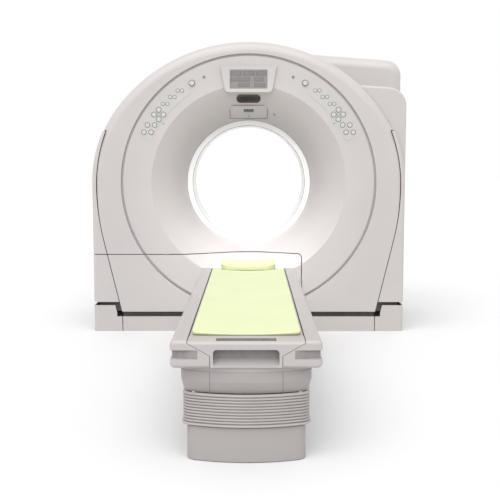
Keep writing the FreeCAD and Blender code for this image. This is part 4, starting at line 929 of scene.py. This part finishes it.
class SCANNER_OT_bellows(bpy.types.Operator):
    """Builds the folded bellows between the base cover and the collar"""

    bl_idname = "scanner.bellows"
    bl_label = "Bellows"

    def execute(self, context):
        sizes = context.scene.scanner_bellows
        low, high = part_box("bellows")
        centre = (low + high) / 2
        bm = bmesh.new()
        ring = outline_of(bm, "bellows")
        pitch = (high.z - low.z) / sizes.folds
        depth = sizes.fold_depth
        resize_ring(bm.verts, centre, -depth)
        for fold in range(sizes.folds):
            drop = -sizes.lip if fold == 0 else 0.0
            ring = grow_wall(bm, ring, centre, pitch * 0.16, depth * 0.8)
            ring = grow_wall(bm, ring, centre, pitch * 0.18, depth * 0.2)
            ring = grow_wall(bm, ring, centre, pitch * 0.32, 0.0)
            ring = grow_wall(bm, ring, centre, pitch * 0.18, -depth * 0.2 + drop / 2)
            ring = grow_wall(bm, ring, centre, pitch * 0.16, -depth * 0.8 + drop - drop / 2)
        piece = new_piece("folded_bellows", bm, ["bellows"], sharp=80.0)
        rounding = piece.modifiers.new("rounding", "SUBSURF")
        rounding.levels = 1
        rounding.render_levels = 1
        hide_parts("bellows")
        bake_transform(piece)
        return {"FINISHED"}


def pad_block(node, slack, voxel):
    """A pad's starting shape: its CAD solid, a little smaller, as one even mesh."""
    bm = bmesh.new()
    bm.from_mesh(frame["nodes"][node].data)
    bmesh.ops.remove_doubles(bm, verts=bm.verts, dist=1e-5)
    low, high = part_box(node)
    centre = (low + high) / 2
    half = (high - low) / 2
    for vert in bm.verts:
        for axis in range(3):
            shrink = (half[axis] - slack) / half[axis]
            vert.co[axis] = centre[axis] + (vert.co[axis] - centre[axis]) * shrink
    piece = new_piece(f"{node}_pad", bm, ["pad"])
    even = piece.modifiers.new("even", "REMESH")
    even.mode = "VOXEL"
    even.voxel_size = voxel
    even.use_smooth_shade = True
    bake_modifiers(piece)
    return piece


def bake_modifiers(piece):
    """Makes what a piece's modifiers show its own mesh."""
    graph = bpy.context.evaluated_depsgraph_get()
    shown = bpy.data.meshes.new_from_object(piece.evaluated_get(graph))
    piece.modifiers.clear()
    old = piece.data
    piece.data = shown
    bpy.data.meshes.remove(old)


def stuff(piece, pads):
    """Swells a pad with the cloth simulation, each point by no more than the cap."""
    rest = [vert.co.copy() for vert in piece.data.vertices]
    cloth = piece.modifiers.new("stuffing", "CLOTH")
    cloth.settings.use_pressure = True
    cloth.settings.uniform_pressure_force = pads.pressure
    cloth.settings.effector_weights.gravity = 0.0
    scene = bpy.context.scene
    for number in range(1, pads.frames + 1):
        scene.frame_set(number)
    bake_modifiers(piece)
    scene.frame_set(1)
    for vert, start in zip(piece.data.vertices, rest):
        move = vert.co - start
        if move.length > pads.swell:
            vert.co = start + move.normalized() * pads.swell


class SCANNER_OT_mat(bpy.types.Operator):
    """Builds the table mat: flat below and hollowed along its middle"""

    bl_idname = "scanner.mat"
    bl_label = "Table mat"

    def execute(self, context):
        pads = context.scene.scanner_pads
        low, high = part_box("mat")
        centre = (low + high) / 2
        half = (high - low) / 2
        piece = pad_block("mat", 0.001, pads.voxel)
        thickness = high.z - low.z
        for vert in piece.data.vertices:
            share = min(1.0, max(0.0, (vert.co.z - low.z) / thickness))
            across = min(1.0, abs(vert.co.x - centre.x) / half.x)
            vert.co.z += share * (pads.rim - pads.dish * (1 - across ** 2.2))
        smooth_faces(piece)
        seat(piece, "cradle", "mat_lime", "mat")
        return {"FINISHED"}


class SCANNER_OT_headrest(bpy.types.Operator):
    """Builds the headrest cushion, stuffed and hollowed for the head"""

    bl_idname = "scanner.headrest"
    bl_label = "Headrest cushion"

    def execute(self, context):
        pads = context.scene.scanner_pads
        low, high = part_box("headrest_cushion")
        centre = (low + high) / 2
        half = (high - low) / 2
        piece = pad_block("headrest_cushion", pads.slack, pads.voxel)
        stuff(piece, pads)
        for vert in piece.data.vertices:
            share = min(1.0, max(0.0, (vert.co.z - low.z) / (high.z - low.z)))
            across = min(1.0, abs(vert.co.x - centre.x) / half.x)
            vert.co.z -= share * 0.016 * (1 - across ** 2)
            vert.co.z = max(vert.co.z, low.z + 0.0002)
        rounding = piece.modifiers.new("rounding", "SUBSURF")
        rounding.levels = 1
        rounding.render_levels = 1
        smooth_faces(piece)
        seat(piece, "cradle", "mat_lime", "headrest_cushion")
        return {"FINISHED"}


def smooth_faces(piece):
    """Shades every face of a piece smooth."""
    piece.data.polygons.foreach_set("use_smooth", [True] * len(piece.data.polygons))


class SCANNER_OT_stage(bpy.types.Operator):
    """Sets up the floor, the even studio light, the two lamps and the camera"""

    bl_idname = "scanner.stage"
    bl_label = "Studio stage"

    def execute(self, context):
        stage = context.scene.scanner_stage
        self.floor(stage)
        self.light(context.scene, stage)
        self.camera(context.scene, stage)
        return {"FINISHED"}

    @staticmethod
    def floor(stage):
        """A plain pale floor under the feet."""
        bm = bmesh.new()
        bmesh.ops.create_grid(bm, x_segments=1, y_segments=1, size=stage.floor / 2)
        mesh = bpy.data.meshes.new("floor")
        bm.to_mesh(mesh)
        bm.free()
        floor = bpy.data.objects.new("floor", mesh)
        mesh.materials.append(new_finish("studio_floor", (0.66, 0.66, 0.66), 0.7))
        bpy.context.scene.collection.objects.link(floor)

    @staticmethod
    def light(scene, stage):
        """Even white surroundings, a wide, soft lamp overhead and a lamp aimed into the bore."""
        world = bpy.data.worlds.new("studio")
        scene.world = world
        world.use_nodes = True
        background = world.node_tree.nodes["Background"]
        background.inputs["Color"].default_value = (1.0, 1.0, 1.0, 1.0)
        background.inputs["Strength"].default_value = stage.sky
        lamp = bpy.data.lights.new("overhead_lamp", "SUN")
        lamp.energy = stage.lamp
        lamp.angle = radians(70.0)
        overhead = bpy.data.objects.new("overhead_lamp", lamp)
        overhead.rotation_euler = (radians(36.0), radians(-8.0), 0.0)
        scene.collection.objects.link(overhead)
        beam = bpy.data.lights.new("bore_lamp", "AREA")
        beam.energy = stage.beam
        beam.size = 0.5
        beam.spread = radians(29.0)
        source = Vector((0.0, -2.2, 2.6))
        bore_lamp = bpy.data.objects.new("bore_lamp", beam)
        bore_lamp.location = source
        bore_lamp.rotation_euler = (Vector((0.0, -0.3, 0.6)) - source).to_track_quat("-Z", "Y").to_euler()
        scene.collection.objects.link(bore_lamp)
        scene.view_settings.view_transform = "Standard"

    @staticmethod
    def camera(scene, stage):
        """The camera, in front of the table's foot end."""
        lens = bpy.data.cameras.new("camera")
        lens.lens = stage.lens
        lens.clip_end = 200.0
        camera = bpy.data.objects.new("camera", lens)
        camera.location = (stage.eye_side, -stage.eye_distance, stage.eye_height)
        camera.rotation_euler = (pi / 2 - stage.pitch, 0.0, stage.yaw)
        scene.collection.objects.link(camera)
        scene.camera = camera


class SCANNER_PT_panel(bpy.types.Panel):
    """Lists the scanner's settings and operators"""

    bl_label = "CT Scanner"
    bl_space_type = "VIEW_3D"
    bl_region_type = "UI"
    bl_category = "Scanner"

    def draw(self, context):
        for group in GROUPS:
            box = self.layout.box()
            settings = getattr(context.scene, group)
            for name in settings.bl_rna.properties.keys():
                if name not in ("rna_type", "name"):
                    box.prop(settings, name)
        for operator in OPERATORS:
            self.layout.operator(operator.bl_idname)


GROUPS = {
    "scanner_colours": ScannerColours,
    "scanner_controls": ScannerControls,
    "scanner_bellows": ScannerBellows,
    "scanner_pads": ScannerPads,
    "scanner_stage": ScannerStage,
}
OPERATORS = (
    SCANNER_OT_covers,
    SCANNER_OT_skirts,
    SCANNER_OT_display,
    SCANNER_OT_keypads,
    SCANNER_OT_apertures,
    SCANNER_OT_rails,
    SCANNER_OT_pedestal,
    SCANNER_OT_bellows,
    SCANNER_OT_mat,
    SCANNER_OT_headrest,
    SCANNER_OT_stage,
)
CLASSES = (*GROUPS.values(), *OPERATORS, SCANNER_PT_panel)


def register():
    for item in CLASSES:
        bpy.utils.register_class(item)
    for name, group in GROUPS.items():
        setattr(bpy.types.Scene, name, PointerProperty(type=group))


def unregister():
    for name in GROUPS:
        delattr(bpy.types.Scene, name)
    for item in reversed(CLASSES):
        bpy.utils.unregister_class(item)


def main():
    """Builds everything in order."""
    register()
    for operator in OPERATORS:
        group, name = operator.bl_idname.split(".")
        getattr(getattr(bpy.ops, group), name)()


if __name__ == "__main__":
    main()
